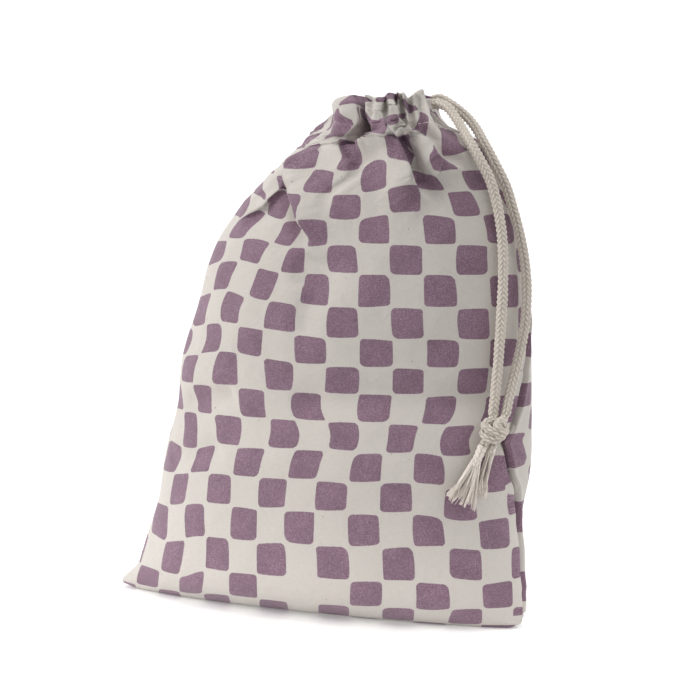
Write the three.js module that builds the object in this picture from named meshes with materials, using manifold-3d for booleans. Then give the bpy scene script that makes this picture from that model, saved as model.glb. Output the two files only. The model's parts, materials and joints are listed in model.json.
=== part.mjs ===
// A drawstring pouch of printed cotton, standing on its folded bottom with its mouth drawn shut.
// Millimetres, +Z up. The front panel faces -Y, the cord leaves the channel at the right end, +X.
// The origin is on the surface that the pouch stands on, under the middle of its base.
import * as THREE from "three";
import Module from "manifold-3d";
import { mergeVertices } from "three/addons/utils/BufferGeometryUtils.js";

const wasm = await Module();
wasm.setup();

// Driving sizes of the pouch
const MOUTH_HEIGHT = 313;
const CLOTH_THICK = 1.6;
const GATHERED_THICK = 2.6;
const FLOOR_THICK = 2.2;
const FLOOR_INSET = { across: 0.94, deep: 0.86 };
const FRONT_COLUMNS = 46;
const BACK_COLUMNS = 36;
const SECTION_STEPS = 1440;

// The folds are placed as seen from a little to the pouch's right, where its side seam shows:
// "across" runs to the right in that view and "up" is the height.
const VIEW_TURN = THREE.MathUtils.degToRad(23.4);
const VIEW_COS = Math.cos(VIEW_TURN);
const VIEW_SIN = Math.sin(VIEW_TURN);

// Drawstring
const CORD_DIAMETER = 6;
const CORD_SIDES = 10;
const CORD_STEP = 13;
const FACE_GAP = 0.3;

// Sections of the pouch by height: left and right ends along X, depth to the front and to the back,
// and how pointed the ends are, 1 for an ellipse.
const LEVELS = [
  { up: 0, left: -121, right: 123, front: 31, back: 31, lens: 1.3 },
  { up: 4, left: -136, right: 131, front: 39, back: 38, lens: 1.35 },
  { up: 15, left: -128, right: 131, front: 44, back: 44, lens: 1.3 },
  { up: 35, left: -121, right: 128, front: 50, back: 50, lens: 1.2 },
  { up: 60, left: -112, right: 126, front: 53, back: 52, lens: 1.1 },
  { up: 90, left: -106, right: 131, front: 55, back: 54, lens: 1.05 },
  { up: 120, left: -98, right: 132, front: 51, back: 54, lens: 1 },
  { up: 150, left: -93, right: 131, front: 51, back: 54, lens: 1 },
  { up: 180, left: -84, right: 130, front: 53, back: 55, lens: 1 },
  { up: 210, left: -74, right: 127, front: 50, back: 54, lens: 1 },
  { up: 230, left: -62, right: 124, front: 46, back: 50, lens: 1 },
  { up: 250, left: -45, right: 117, front: 41, back: 44, lens: 1 },
  { up: 270, left: -25, right: 107, front: 34, back: 36, lens: 1 },
  { up: 290, left: -7, right: 92, front: 26, back: 26, lens: 0.95 },
  { up: 303, left: 4, right: 78, front: 19, back: 19, lens: 0.9 },
  { up: 313, left: 13, right: 73, front: 18, back: 18, lens: 0.9 },
];

// Heights at which the cloth has a row of points, closer together where it is gathered.
const ROWS = [
  0, 4, 15, 30, 46, 62, 78, 92, 104, 116, 128, 140, 154, 170, 188, 205, 220, 233, 244, 254, 263, 271,
  279, 287, 294, 301, 307, 313,
];

// How far round each side seam sits from the end of its section, in radians:
// the right one towards the front, the left one towards the back.
const SEAMS = [
  { up: 0, right: 0, left: 0 },
  { up: 50, right: 0, left: 0.1 },
  { up: 72, right: 0.15, left: 0.15 },
  { up: 89, right: 0.3, left: 0.2 },
  { up: 109, right: 0.42, left: 0.26 },
  { up: 121, right: 0.3, left: 0.3 },
  { up: 135, right: 0.19, left: 0.34 },
  { up: 162, right: 0.05, left: 0.4 },
  { up: 220, right: 0, left: 0.55 },
  { up: 313, right: 0, left: 0.6 },
];

// Folds of the side that shows: points across and up, height out of the cloth (less than 0 for a
// hollow), and the width of the slope on each side of the line. For a line that runs down, left and right
// are the view's own, and for one that runs to the right, left is below it and right above it.
const FOLDS = [
  {
    name: "long pleat from the mouth to the right shoulder",
    points: [[38, 312], [38, 303], [39, 295], [46, 281], [51, 269], [54.5, 259], [59, 250], [67, 243]],
    height: 6.5, left: 11, right: 4,
  },
  {
    name: "second pleat, which levels out over the right shoulder",
    points: [[48, 303], [50, 294], [57, 287], [66, 280], [71, 272], [76, 263], [88, 261]],
    height: 5.5, left: 8, right: 4,
  },
  {
    name: "deep pocket under the mouth",
    points: [[26, 306], [26, 294], [26, 283]],
    height: -7, left: 4, right: 5,
  },
  {
    name: "left edge of the pocket",
    points: [[19, 309], [19.5, 300], [20, 292], [20, 283]],
    height: 3.5, left: 11, right: 4,
  },
  {
    name: "lip under the pocket",
    points: [[18, 280], [22, 281], [28, 283], [34, 286], [38, 290]],
    height: 4, left: 8, right: 4,
  },
  {
    name: "short crease left of the pocket",
    points: [[13, 284], [14, 276], [18, 268], [27, 262]],
    height: 3.5, left: 7, right: 4,
  },
  {
    name: "ridge down the left shoulder",
    points: [[-5, 281], [-9, 277], [-16, 267], [-17, 258], [-14, 249], [-11, 240], [-7, 227], [-3, 218]],
    height: 4.5, left: 4, right: 13,
  },
  {
    name: "overlap along the left shoulder",
    points: [[-17, 262], [-25, 251], [-33, 243], [-40, 240], [-51, 232]],
    height: 3.5, left: 9, right: 4,
  },
  {
    name: "level valley across the middle",
    points: [[-20, 130], [6, 130], [35, 134], [64, 130], [90, 131], [110, 122]],
    height: -4, left: 11, right: 11,
  },
  {
    name: "slanting hollow below the left shoulder",
    points: [[10, 216], [-1, 197], [-9, 180], [-12, 165]],
    height: -3, left: 8, right: 10,
  },
  {
    name: "upper dent at the left edge",
    points: [[-86, 123], [-66, 127], [-50, 133]],
    height: -4, left: 7, right: 7,
  },
  {
    name: "lower dent at the left edge",
    points: [[-96, 88], [-75, 94], [-58, 102]],
    height: -3, left: 7, right: 7,
  },
];

// Folds of the back, in its own view: across runs to the left of the pouch there.
const BACK_FOLDS = [
  {
    name: "pleat down the back from the mouth",
    points: [[-30, 292], [-36, 272], [-30, 250], [-40, 225]],
    height: 4.5, left: 5, right: 7,
  },
  {
    name: "second pleat down the back",
    points: [[-62, 280], [-72, 262], [-78, 240]],
    height: 4, left: 5, right: 6,
  },
  {
    name: "hollow between the back pleats",
    points: [[-48, 290], [-52, 262], [-50, 236]],
    height: -4, left: 6, right: 6,
  },
  {
    name: "level valley across the back",
    points: [[-90, 128], [-50, 136], [-5, 130], [40, 136]],
    height: -4, left: 12, right: 12,
  },
  {
    name: "slanting hollow low on the back",
    points: [[-60, 92], [-20, 74], [20, 70]],
    height: -3, left: 12, right: 12,
  },
];

// A fold rises over this share of its line at each end, from the part of its height it has there.
const FOLD_END = { rise: 0.2, first: 0.35, last: 0.15 };

// How squarely the cloth must face the view before a fold has its full height.
const FACING = { least: -0.1, span: 0.5 };
const FACING_BACK = { least: 0.1, span: 0.5 };

// Front pleats at the mouth: where each stands across, its height and half its width.
const PLEATS = [
  { at: 16, height: 6.5, half: 3 },
  { at: 23, height: 8, half: 3.2 },
  { at: 31, height: 8.5, half: 2.8 },
  { at: 38.5, height: 9, half: 3 },
  { at: 46, height: 8.5, half: 2.8 },
  { at: 54, height: 8, half: 3 },
  { at: 61.5, height: 6.5, half: 3 },
];
const PLEAT_MEAN = 5;
const PLEAT_SPREAD = 0.008;
const BACK_PLEATS = 14;
const BACK_PLEAT_HEIGHT = 5;
const BACK_PLEAT_TURN = 0.6;
const GATHER_LOW = 246;
const GATHER_HIGH = 298;

// The mouth's edge isn't level: its height by the distance across.
const MOUTH_EDGE = [
  { across: 8, up: 302 },
  { across: 14, up: 303 },
  { across: 24, up: 306 },
  { across: 40, up: 308 },
  { across: 52, up: 310 },
  { across: 60, up: 311 },
  { across: 66, up: 309 },
  { across: 73, up: 305 },
  { across: 82, up: 302 },
];
const EDGE_BLEND = 272;

// The notch at the channel's right end, where the cord comes out.
const OUTLET = { low: 291, full: 299, depth: 5, half: 10, flatness: 4 };

// The two strands of the drawstring, from the channel's end to the knot: across, up and out.
const INNER_STRAND = [
  [65.6, 301, 31.8], [68.6, 301.4, 33.4], [73.4, 299.3, 37], [78.4, 292, 43], [82.4, 284.1, 49.6],
  [85.9, 276.7, 56.3], [89.4, 269.7, 60.8], [93.3, 262, 63.2], [96.6, 254.5, 64], [99.3, 245, 65],
  [101.8, 230.5, 67.4], [102.9, 213.5, 70], [102.6, 195, 72.7], [101.4, 175, 74.7], [100.2, 156, 75.2],
  [98.7, 138, 75.2], [97.5, 125, 75.2],
];
const OUTER_STRAND = [
  [66.2, 304.5, 25.2], [70, 305, 27], [75.7, 301.9, 29.5], [80.6, 298, 32.3], [86, 292.6, 36.4],
  [90.2, 286, 42.4], [93.1, 279.2, 48.3], [96.4, 272.6, 52.4], [99.4, 266, 55], [105.4, 253.6, 57.2],
  [110, 238.4, 59.4], [113.4, 225, 60.6], [116, 211.4, 61.4], [117.1, 195, 63.2], [116, 177, 66.6],
  [111.7, 155.6, 70.8], [107.7, 140.5, 73.2], [104.3, 125, 75.6],
];

// The knot, and the two ends of the cord that hang from it.
const KNOT = {
  centre: [97.5, 116.8, 78],
  steps: 14,
  core: 5.6,
  straight: 3,
  stubSteps: 4,
  turns: [
    { up: 2.2, out: 0, tilt: 0.22, lean: 0.2, radius: 4.4 },
    { up: -2.2, out: 0, tilt: -0.15, lean: -0.25, radius: 4.6 },
    { up: 0, out: 1.2, tilt: 1.2, lean: 0.6, radius: 3.4 },
  ],
};
const LONG_TAIL = {
  start: [91.8, 108.3, 77.6], head: [87.6, 98.3, 77.2], tip: [81, 77.4, 77],
  yarns: 30, spread: 2.6, deep: 1.5, uneven: 0.22,
};
const SHORT_TAIL = {
  start: [97.4, 108, 74.2], head: [96.6, 104.4, 74.2], tip: [94.5, 78, 74.6],
  yarns: 30, spread: 1, deep: 0.9, uneven: 0.3,
};
const YARN = {
  radius: 0.42, sides: 3, steps: 3, pitch: 1, rim: 0.1, sunk: 1, bend: 0.45, unevenTurn: 2.4,
};

const CLOTH_COLOUR = 0xe4dfd8;
const CORD_COLOUR = 0xe9e4da;

const smoothstep = (value) => {
  const t = THREE.MathUtils.clamp(value, 0, 1);
  return t * t * (3 - 2 * t);
};

// The row of a table at one place, on a smooth curve through its rows.
function rowAt(table, key, place) {
  const last = table.length - 1;
  const at = THREE.MathUtils.clamp(place, table[0][key], table[last][key]);
  let i = 0;
  while (i < last - 1 && at >= table[i + 1][key]) i += 1;
  const a = table[i];
  const b = table[i + 1];
  const before = table[Math.max(i - 1, 0)];
  const after = table[Math.min(i + 2, last)];
  const span = b[key] - a[key];
  const t = (at - a[key]) / span;
  const row = {};
  for (const name of Object.keys(a)) {
    const slopeA = ((b[name] - before[name]) / (b[key] - before[key])) * span;
    const slopeB = ((after[name] - a[name]) / (after[key] - a[key])) * span;
    row[name] =
      (2 * t ** 3 - 3 * t ** 2 + 1) * a[name] +
      (t ** 3 - 2 * t ** 2 + t) * slopeA +
      (3 * t ** 2 - 2 * t ** 3) * b[name] +
      (t ** 3 - t ** 2) * slopeB;
  }
  return row;
}

// Distance from a point to a line of points, the side it lies on (above 0 is right for a line that runs
// down) and the share along it.
function nearLine(across, up, points) {
  const lengths = points.slice(1).map((p, k) => Math.hypot(p[0] - points[k][0], p[1] - points[k][1]));
  const whole = lengths.reduce((sum, length) => sum + length, 0);
  let best = { away: Infinity, side: 0, share: 0 };
  let done = 0;
  lengths.forEach((length, k) => {
    const [ax, ay] = points[k];
    const dx = points[k + 1][0] - ax;
    const dy = points[k + 1][1] - ay;
    const t = THREE.MathUtils.clamp(((across - ax) * dx + (up - ay) * dy) / length ** 2, 0, 1);
    const rx = across - ax - t * dx;
    const ry = up - ay - t * dy;
    const away = Math.hypot(rx, ry);
    if (away < best.away) best = { away, side: dx * ry - dy * rx, share: (done + t * length) / whole };
    done += length;
  });
  return best;
}

// How far the listed folds lift the cloth at one place of their view.
function foldLift(folds, across, up) {
  let lift = 0;
  for (const fold of folds) {
    const near = nearLine(across, up, fold.points);
    const width = near.side > 0 ? fold.right : fold.left;
    const starts = smoothstep(near.share / FOLD_END.rise + FOLD_END.first);
    const ends = smoothstep((1 - near.share) / FOLD_END.rise + FOLD_END.last);
    lift += fold.height * Math.exp(-((near.away / width) ** 2)) * starts * ends;
  }
  return lift;
}

// The front pleats of the gathered mouth, which spread a little as they run down.
function pleatLift(across, up) {
  let lift = -PLEAT_MEAN;
  for (const pleat of PLEATS) {
    const at = pleat.at + (MOUTH_HEIGHT - up) * PLEAT_SPREAD * (pleat.at - PLEATS[3].at);
    lift += pleat.height * Math.exp(-(((across - at) / pleat.half) ** 2));
  }
  return lift;
}

// The height of the pleats all round the gathered mouth, which die out where the cord comes through.
function gatherLift(across, up, round, facing, facingBack, notch) {
  const wave = BACK_PLEAT_HEIGHT * Math.cos(BACK_PLEATS * round + BACK_PLEAT_TURN);
  return facing * pleatLift(across, up) + (1 - facing) * wave * (1 - notch * (1 - facingBack));
}

// One point of the smooth section at an angle round it: 0 is the right end, a quarter turn the front.
function sectionPoint(level, angle) {
  const middle = (level.left + level.right) / 2;
  const half = (level.right - level.left) / 2;
  const depth = Math.sin(angle) > 0 ? level.front : level.back;
  const bulge = Math.sign(Math.sin(angle)) * Math.abs(Math.sin(angle)) ** level.lens;
  return new THREE.Vector2(middle + half * Math.cos(angle), -depth * bulge);
}

// A closed section with its folds, as points of one outline: the outer face, and the inner face where
// the cloth's thickness is taken off.
function sectionOutline(up) {
  const level = rowAt(LEVELS, "up", up);
  const gathered = smoothstep((up - GATHER_LOW) / (GATHER_HIGH - GATHER_LOW));
  const thick = THREE.MathUtils.lerp(CLOTH_THICK, GATHERED_THICK, gathered);
  const inside = {
    ...level,
    left: level.left + thick,
    right: level.right - thick,
    front: level.front - thick,
    back: level.back - thick,
  };
  const middle = (level.left + level.right) / 2;
  const notch = smoothstep((up - OUTLET.low) / (OUTLET.full - OUTLET.low));
  const outline = [];
  const step = (2 * Math.PI) / SECTION_STEPS;
  for (let k = 0; k < SECTION_STEPS; k += 1) {
    const angle = (k + 0.5) * step;
    const skin = sectionPoint(level, angle);
    const along = sectionPoint(level, angle + step / 2).sub(sectionPoint(level, angle - step / 2));
    const normal = new THREE.Vector2(-along.y, along.x).normalize();
    if (normal.x * (skin.x - middle) + normal.y * skin.y < 0) normal.negate();
    const across = skin.x * VIEW_COS + skin.y * VIEW_SIN;
    const towards = normal.x * VIEW_SIN - normal.y * VIEW_COS;
    const facing = smoothstep((towards - FACING.least) / FACING.span);
    const facingBack = smoothstep((normal.y - FACING_BACK.least) / FACING_BACK.span);
    let lift = facing * foldLift(FOLDS, across, up) + facingBack * foldLift(BACK_FOLDS, -skin.x, up);
    if (gathered > 0) {
      const round = Math.atan2(-skin.y, skin.x - middle);
      lift += gathered * gatherLift(across, up, round, facing, facingBack, notch);
    }
    if (skin.x > middle) {
      lift -= notch * OUTLET.depth * Math.exp(-((skin.y / OUTLET.half) ** OUTLET.flatness));
    }
    const core = sectionPoint(inside, angle);
    outline.push({
      angle,
      outer: new THREE.Vector2(skin.x + normal.x * lift, skin.y + normal.y * lift),
      inner: new THREE.Vector2(core.x + normal.x * lift, core.y + normal.y * lift),
    });
  }
  return outline;
}

// Picks the section's columns: evenly along the cloth from seam to seam, front first, then the back.
function sectionColumns(up) {
  const outline = sectionOutline(up);
  const count = outline.length;
  const run = [0];
  for (let k = 0; k < count; k += 1) {
    run.push(run[k] + outline[k].outer.distanceTo(outline[(k + 1) % count].outer));
  }
  const seams = rowAt(SEAMS, "up", up);
  const placeOf = (angle) => run[Math.round((angle / (2 * Math.PI)) * count) % count];
  const whole = run[count];
  const right = placeOf(Math.max(seams.right, 0));
  const left = placeOf(Math.PI + Math.max(seams.left, 0));
  const columns = [];
  const pick = (place) => {
    const at = ((place % whole) + whole) % whole;
    let k = 0;
    while (run[k + 1] < at) k += 1;
    const t = (at - run[k]) / (run[k + 1] - run[k]);
    const a = outline[k];
    const b = outline[(k + 1) % count];
    columns.push({ outer: a.outer.clone().lerp(b.outer, t), inner: a.inner.clone().lerp(b.inner, t) });
  };
  for (let j = 0; j < FRONT_COLUMNS; j += 1) pick(left - ((left - right) * j) / FRONT_COLUMNS);
  for (let j = 0; j < BACK_COLUMNS; j += 1) pick(right - ((whole - left + right) * j) / BACK_COLUMNS);
  return columns;
}

// The height of a point of one row, which follows the mouth's uneven edge near the top.
function rowHeight(up, point) {
  const across = point.x * VIEW_COS + point.y * VIEW_SIN;
  const edge = rowAt(MOUTH_EDGE, "across", across).up;
  const share = smoothstep((up - EDGE_BLEND) / (MOUTH_HEIGHT - EDGE_BLEND));
  return up + (edge - MOUTH_HEIGHT) * share;
}

// The pouch's cloth: outer face, gathered mouth and inner face, as one closed wall.
function pouchCloth() {
  const rings = ROWS.map((up) => ({ up, columns: sectionColumns(up) }));
  const outer = rings.map(({ up, columns }) =>
    columns.map(({ outer: p }) => new THREE.Vector3(p.x, p.y, rowHeight(up, p))),
  );
  const inner = rings.slice(1).map(({ up, columns }) =>
    columns.map(({ inner: p, outer: q }) => new THREE.Vector3(p.x, p.y, rowHeight(up, q))),
  );
  inner[0].forEach((p) => {
    p.x *= FLOOR_INSET.across;
    p.y *= FLOOR_INSET.deep;
    p.z = FLOOR_THICK;
  });
  const loops = [...outer, ...inner.reverse()];
  const count = loops[0].length;
  const positions = [];
  const triangle = (a, b, c) => positions.push(...a.toArray(), ...b.toArray(), ...c.toArray());
  const centreOf = (loop) =>
    loop.reduce((sum, p) => sum.add(p), new THREE.Vector3()).divideScalar(loop.length);
  const floor = loops[loops.length - 1];
  for (let j = 0; j < count; j += 1) {
    const k = (j + 1) % count;
    triangle(centreOf(loops[0]), loops[0][k], loops[0][j]);
    for (let i = 0; i < loops.length - 1; i += 1) {
      triangle(loops[i][j], loops[i][k], loops[i + 1][k]);
      triangle(loops[i][j], loops[i + 1][k], loops[i + 1][j]);
    }
    triangle(centreOf(floor), floor[j], floor[k]);
  }
  const geometry = new THREE.BufferGeometry();
  geometry.setAttribute("position", new THREE.Float32BufferAttribute(positions, 3));
  return geometry;
}

// A place given in the slanted view: across, up and out towards the viewer.
const inView = ([across, up, out]) =>
  new THREE.Vector3(across * VIEW_COS + out * VIEW_SIN, across * VIEW_SIN - out * VIEW_COS, up);

// A tube of a regular section along a curve, closed at both ends.
function tube(curve, radius, sides, steps) {
  const corners = [];
  for (let k = 0; k < sides; k += 1) {
    const angle = (2 * Math.PI * k) / sides;
    corners.push(new THREE.Vector2(radius * Math.cos(angle), radius * Math.sin(angle)));
  }
  return new THREE.ExtrudeGeometry(new THREE.Shape(corners), {
    extrudePath: curve,
    steps,
    curveSegments: 1,
    bevelEnabled: false,
  });
}

// A closed geometry as a solid that can be joined to others, and back.
function solidOf(geometry) {
  const bare = geometry.clone();
  bare.deleteAttribute("normal");
  bare.deleteAttribute("uv");
  const merged = mergeVertices(bare.index ? bare.toNonIndexed() : bare, 1e-4);
  return new wasm.Manifold(
    new wasm.Mesh({
      numProp: 3,
      vertProperties: merged.getAttribute("position").array,
      triVerts: new Uint32Array(merged.index.array),
    }),
  );
}

function geometryOf(solid) {
  const mesh = solid.getMesh();
  const geometry = new THREE.BufferGeometry();
  geometry.setAttribute("position", new THREE.BufferAttribute(mesh.vertProperties, 3));
  geometry.setIndex(new THREE.BufferAttribute(mesh.triVerts, 1));
  return geometry;
}

const joined = (geometries) =>
  geometryOf(geometries.map(solidOf).reduce((whole, solid) => whole.add(solid)));

const routeOf = (points) => new THREE.CatmullRomCurve3(points.map(inView), false, "centripetal");
const cordTube = (route) =>
  tube(route, CORD_DIAMETER / 2, CORD_SIDES, Math.round(route.getLength() / CORD_STEP));
const straight = (from, to) => new THREE.LineCurve3(from, to);

// The knot: two tilted turns round the strands and one turn over the front, with the short lengths of
// cord that run into it and out of it.
function knot(ends) {
  const centre = inView(KNOT.centre);
  const turns = KNOT.turns.map(({ up, out, tilt, lean, radius }) => {
    const turn = new THREE.TorusGeometry(radius, CORD_DIAMETER / 2, CORD_SIDES, KNOT.steps);
    turn.rotateX(tilt);
    turn.rotateY(lean);
    turn.rotateZ(VIEW_TURN);
    const place = inView([KNOT.centre[0], KNOT.centre[1] + up, KNOT.centre[2] + out]);
    turn.translate(place.x, place.y, place.z);
    return turn;
  });
  const stubs = ends.map(({ place, along }) => {
    const points = [FACE_GAP, KNOT.straight].map((far) => place.clone().addScaledVector(along, far));
    const route = new THREE.CatmullRomCurve3([...points, centre]);
    return tube(route, CORD_DIAMETER / 2, CORD_SIDES, KNOT.stubSteps);
  });
  const core = new THREE.SphereGeometry(KNOT.core, KNOT.steps, CORD_SIDES);
  core.translate(centre.x, centre.y, centre.z);
  return joined([core, ...turns, ...stubs]);
}

// A frayed end: a stub of braid and the yarns that open out of it, evenly spaced at the root.
function frayedEnd({ start, head, tip, yarns, spread, deep, uneven }) {
  const top = inView(start);
  const root = inView(head);
  const foot = inView(tip);
  const pieces = [tube(straight(top, root), CORD_DIAMETER / 2, CORD_SIDES, 1)];
  const down = foot.clone().sub(root);
  const side = new THREE.Vector3(VIEW_COS, VIEW_SIN, 0);
  const front = new THREE.Vector3().crossVectors(side, down).normalize();
  const begin = root.clone().addScaledVector(top.clone().sub(root).normalize(), YARN.sunk);
  const reach = Math.ceil(CORD_DIAMETER / 2 / YARN.pitch) + 1;
  let made = 0;
  for (let row = -reach; row <= reach; row += 1) {
    for (let column = -reach; column <= reach; column += 1) {
      const a = (column + (row % 2 === 0 ? 0 : 0.5)) * YARN.pitch;
      const b = row * YARN.pitch * Math.sin(Math.PI / 3);
      if (Math.hypot(a, b) > CORD_DIAMETER / 2 - YARN.radius - YARN.rim || made >= yarns) continue;
      made += 1;
      const length = 1 - uneven * Math.abs(Math.sin(YARN.unevenTurn * made));
      const offset = side.clone().multiplyScalar(a).addScaledVector(front, b);
      const wide = side.clone().multiplyScalar(a * spread).addScaledVector(front, b * deep);
      const path = new THREE.QuadraticBezierCurve3(
        begin.clone().add(offset),
        root.clone().addScaledVector(down, YARN.bend * length).add(offset),
        root.clone().addScaledVector(down, length).add(wide),
      );
      pieces.push(tube(path, YARN.radius, YARN.sides, YARN.steps));
    }
  }
  return joined(pieces);
}

const group = new THREE.Group();

function add(name, geometry, colour) {
  const material = new THREE.MeshStandardMaterial({ color: colour, roughness: 0.9, metalness: 0 });
  const mesh = new THREE.Mesh(geometry, material);
  mesh.name = name;
  group.add(mesh);
}

const innerRoute = routeOf(INNER_STRAND);
const outerRoute = routeOf(OUTER_STRAND);
const endOf = (route) => ({ place: route.getPointAt(1), along: route.getTangentAt(1) });
const tailEnd = ({ start, head }) => {
  const place = inView(start);
  return { place, along: place.clone().sub(inView(head)).normalize() };
};

const knotEnds = [endOf(innerRoute), endOf(outerRoute), tailEnd(LONG_TAIL), tailEnd(SHORT_TAIL)];

add("pouch_cloth", pouchCloth(), CLOTH_COLOUR);
add("cord_inner", cordTube(innerRoute), CORD_COLOUR);
add("cord_outer", cordTube(outerRoute), CORD_COLOUR);
add("cord_knot", knot(knotEnds), CORD_COLOUR);
add("frayed_end_long", frayedEnd(LONG_TAIL), CORD_COLOUR);
add("frayed_end_short", frayedEnd(SHORT_TAIL), CORD_COLOUR);

export default group;
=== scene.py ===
"""A standing drawstring pouch of printed cotton: the cloth, its cord, the knot and the frayed ends.

Tables are in millimetres, +Z up, front panel towards -Y. Everything is made in metres.
"""

import json
import math

import bpy
import numpy as np
from mathutils import Vector
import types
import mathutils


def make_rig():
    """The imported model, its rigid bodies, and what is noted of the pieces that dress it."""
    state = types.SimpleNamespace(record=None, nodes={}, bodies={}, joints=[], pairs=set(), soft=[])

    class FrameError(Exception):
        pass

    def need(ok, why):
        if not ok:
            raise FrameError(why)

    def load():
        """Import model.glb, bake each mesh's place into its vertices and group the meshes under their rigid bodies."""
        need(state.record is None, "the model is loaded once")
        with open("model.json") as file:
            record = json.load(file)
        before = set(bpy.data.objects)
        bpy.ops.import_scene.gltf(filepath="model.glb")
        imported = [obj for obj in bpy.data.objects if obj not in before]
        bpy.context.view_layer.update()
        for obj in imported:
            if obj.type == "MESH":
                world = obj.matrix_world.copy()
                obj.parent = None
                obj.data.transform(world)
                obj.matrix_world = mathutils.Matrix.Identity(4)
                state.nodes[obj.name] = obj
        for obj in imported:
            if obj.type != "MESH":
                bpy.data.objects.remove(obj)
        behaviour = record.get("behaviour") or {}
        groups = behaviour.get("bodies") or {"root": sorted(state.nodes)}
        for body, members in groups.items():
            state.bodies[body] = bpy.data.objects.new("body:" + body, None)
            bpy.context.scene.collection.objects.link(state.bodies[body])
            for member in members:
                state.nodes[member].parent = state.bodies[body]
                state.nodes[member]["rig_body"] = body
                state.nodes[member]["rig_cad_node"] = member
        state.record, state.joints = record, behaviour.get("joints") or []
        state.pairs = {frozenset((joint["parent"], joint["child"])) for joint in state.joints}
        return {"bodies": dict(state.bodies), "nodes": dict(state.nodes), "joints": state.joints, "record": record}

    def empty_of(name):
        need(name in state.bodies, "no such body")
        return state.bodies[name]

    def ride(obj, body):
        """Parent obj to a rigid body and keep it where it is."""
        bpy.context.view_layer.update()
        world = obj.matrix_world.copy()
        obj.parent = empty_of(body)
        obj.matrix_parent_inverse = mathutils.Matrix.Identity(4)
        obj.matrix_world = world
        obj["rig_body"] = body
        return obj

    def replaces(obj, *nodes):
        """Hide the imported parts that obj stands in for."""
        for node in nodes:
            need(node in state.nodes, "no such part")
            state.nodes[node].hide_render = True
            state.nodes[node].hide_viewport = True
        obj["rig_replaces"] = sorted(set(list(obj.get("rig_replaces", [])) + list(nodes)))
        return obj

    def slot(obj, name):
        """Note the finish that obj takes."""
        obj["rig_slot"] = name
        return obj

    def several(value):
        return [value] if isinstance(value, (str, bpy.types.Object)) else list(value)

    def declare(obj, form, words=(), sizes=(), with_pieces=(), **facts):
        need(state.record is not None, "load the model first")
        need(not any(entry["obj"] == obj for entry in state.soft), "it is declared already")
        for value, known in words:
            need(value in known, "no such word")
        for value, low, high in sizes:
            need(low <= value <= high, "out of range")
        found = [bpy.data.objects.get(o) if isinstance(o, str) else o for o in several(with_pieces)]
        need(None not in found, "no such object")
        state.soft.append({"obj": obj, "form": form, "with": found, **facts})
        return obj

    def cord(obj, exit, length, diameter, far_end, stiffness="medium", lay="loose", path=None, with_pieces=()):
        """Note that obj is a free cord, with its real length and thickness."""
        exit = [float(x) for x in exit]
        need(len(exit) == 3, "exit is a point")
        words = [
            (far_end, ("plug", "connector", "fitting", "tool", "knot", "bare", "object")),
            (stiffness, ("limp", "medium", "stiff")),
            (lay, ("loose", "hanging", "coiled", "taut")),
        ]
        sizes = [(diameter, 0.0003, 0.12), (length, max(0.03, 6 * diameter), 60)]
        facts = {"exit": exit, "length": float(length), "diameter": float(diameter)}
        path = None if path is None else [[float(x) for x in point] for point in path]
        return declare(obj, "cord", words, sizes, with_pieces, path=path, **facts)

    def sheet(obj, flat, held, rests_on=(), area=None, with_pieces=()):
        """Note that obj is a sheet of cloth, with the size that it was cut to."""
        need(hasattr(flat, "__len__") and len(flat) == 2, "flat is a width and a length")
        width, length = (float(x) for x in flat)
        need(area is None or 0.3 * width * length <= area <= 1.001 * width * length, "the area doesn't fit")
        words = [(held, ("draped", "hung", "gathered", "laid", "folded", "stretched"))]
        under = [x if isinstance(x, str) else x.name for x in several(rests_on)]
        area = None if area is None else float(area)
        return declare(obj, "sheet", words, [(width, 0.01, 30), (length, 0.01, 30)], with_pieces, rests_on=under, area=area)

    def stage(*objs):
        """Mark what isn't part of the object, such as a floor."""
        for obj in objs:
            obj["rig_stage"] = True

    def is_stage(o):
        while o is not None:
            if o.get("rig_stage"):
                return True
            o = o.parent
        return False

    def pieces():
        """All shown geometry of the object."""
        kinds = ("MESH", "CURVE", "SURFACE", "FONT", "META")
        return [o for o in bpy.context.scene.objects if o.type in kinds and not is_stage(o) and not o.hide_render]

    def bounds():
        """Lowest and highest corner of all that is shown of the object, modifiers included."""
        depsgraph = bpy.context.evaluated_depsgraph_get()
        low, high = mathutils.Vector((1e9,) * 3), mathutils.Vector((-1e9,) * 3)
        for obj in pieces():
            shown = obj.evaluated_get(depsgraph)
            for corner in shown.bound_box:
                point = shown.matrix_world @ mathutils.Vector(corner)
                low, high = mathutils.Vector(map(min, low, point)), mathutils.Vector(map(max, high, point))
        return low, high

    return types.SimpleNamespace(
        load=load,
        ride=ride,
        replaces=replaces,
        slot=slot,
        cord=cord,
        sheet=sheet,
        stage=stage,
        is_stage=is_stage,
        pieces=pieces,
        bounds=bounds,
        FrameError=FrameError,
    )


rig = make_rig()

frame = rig.load()
cad_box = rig.bounds()

MM = 0.001
FULL_TURN = 2 * math.pi

# The camera, and places given as it sees them: across, up and out towards it
VIEW_TURN = math.radians(23.4)
VIEW_COS = math.cos(VIEW_TURN)
VIEW_SIN = math.sin(VIEW_TURN)
EYE = (17.6, 217.0, 880.0)
SENSOR_MM = 36
PICTURE_PIXELS = 700
FOCAL_PIXELS = 1450
# How far the eye's level lies above the picture's middle.
EYE_LEVEL_PIXELS = 100


def in_view(points):
    """Places given across, up and out in the slanted view, as x, y, z in millimetres."""
    across, up, out = np.atleast_2d(np.asarray(points, float)).T
    return np.stack([across * VIEW_COS + out * VIEW_SIN, across * VIEW_SIN - out * VIEW_COS, up], 1)


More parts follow.
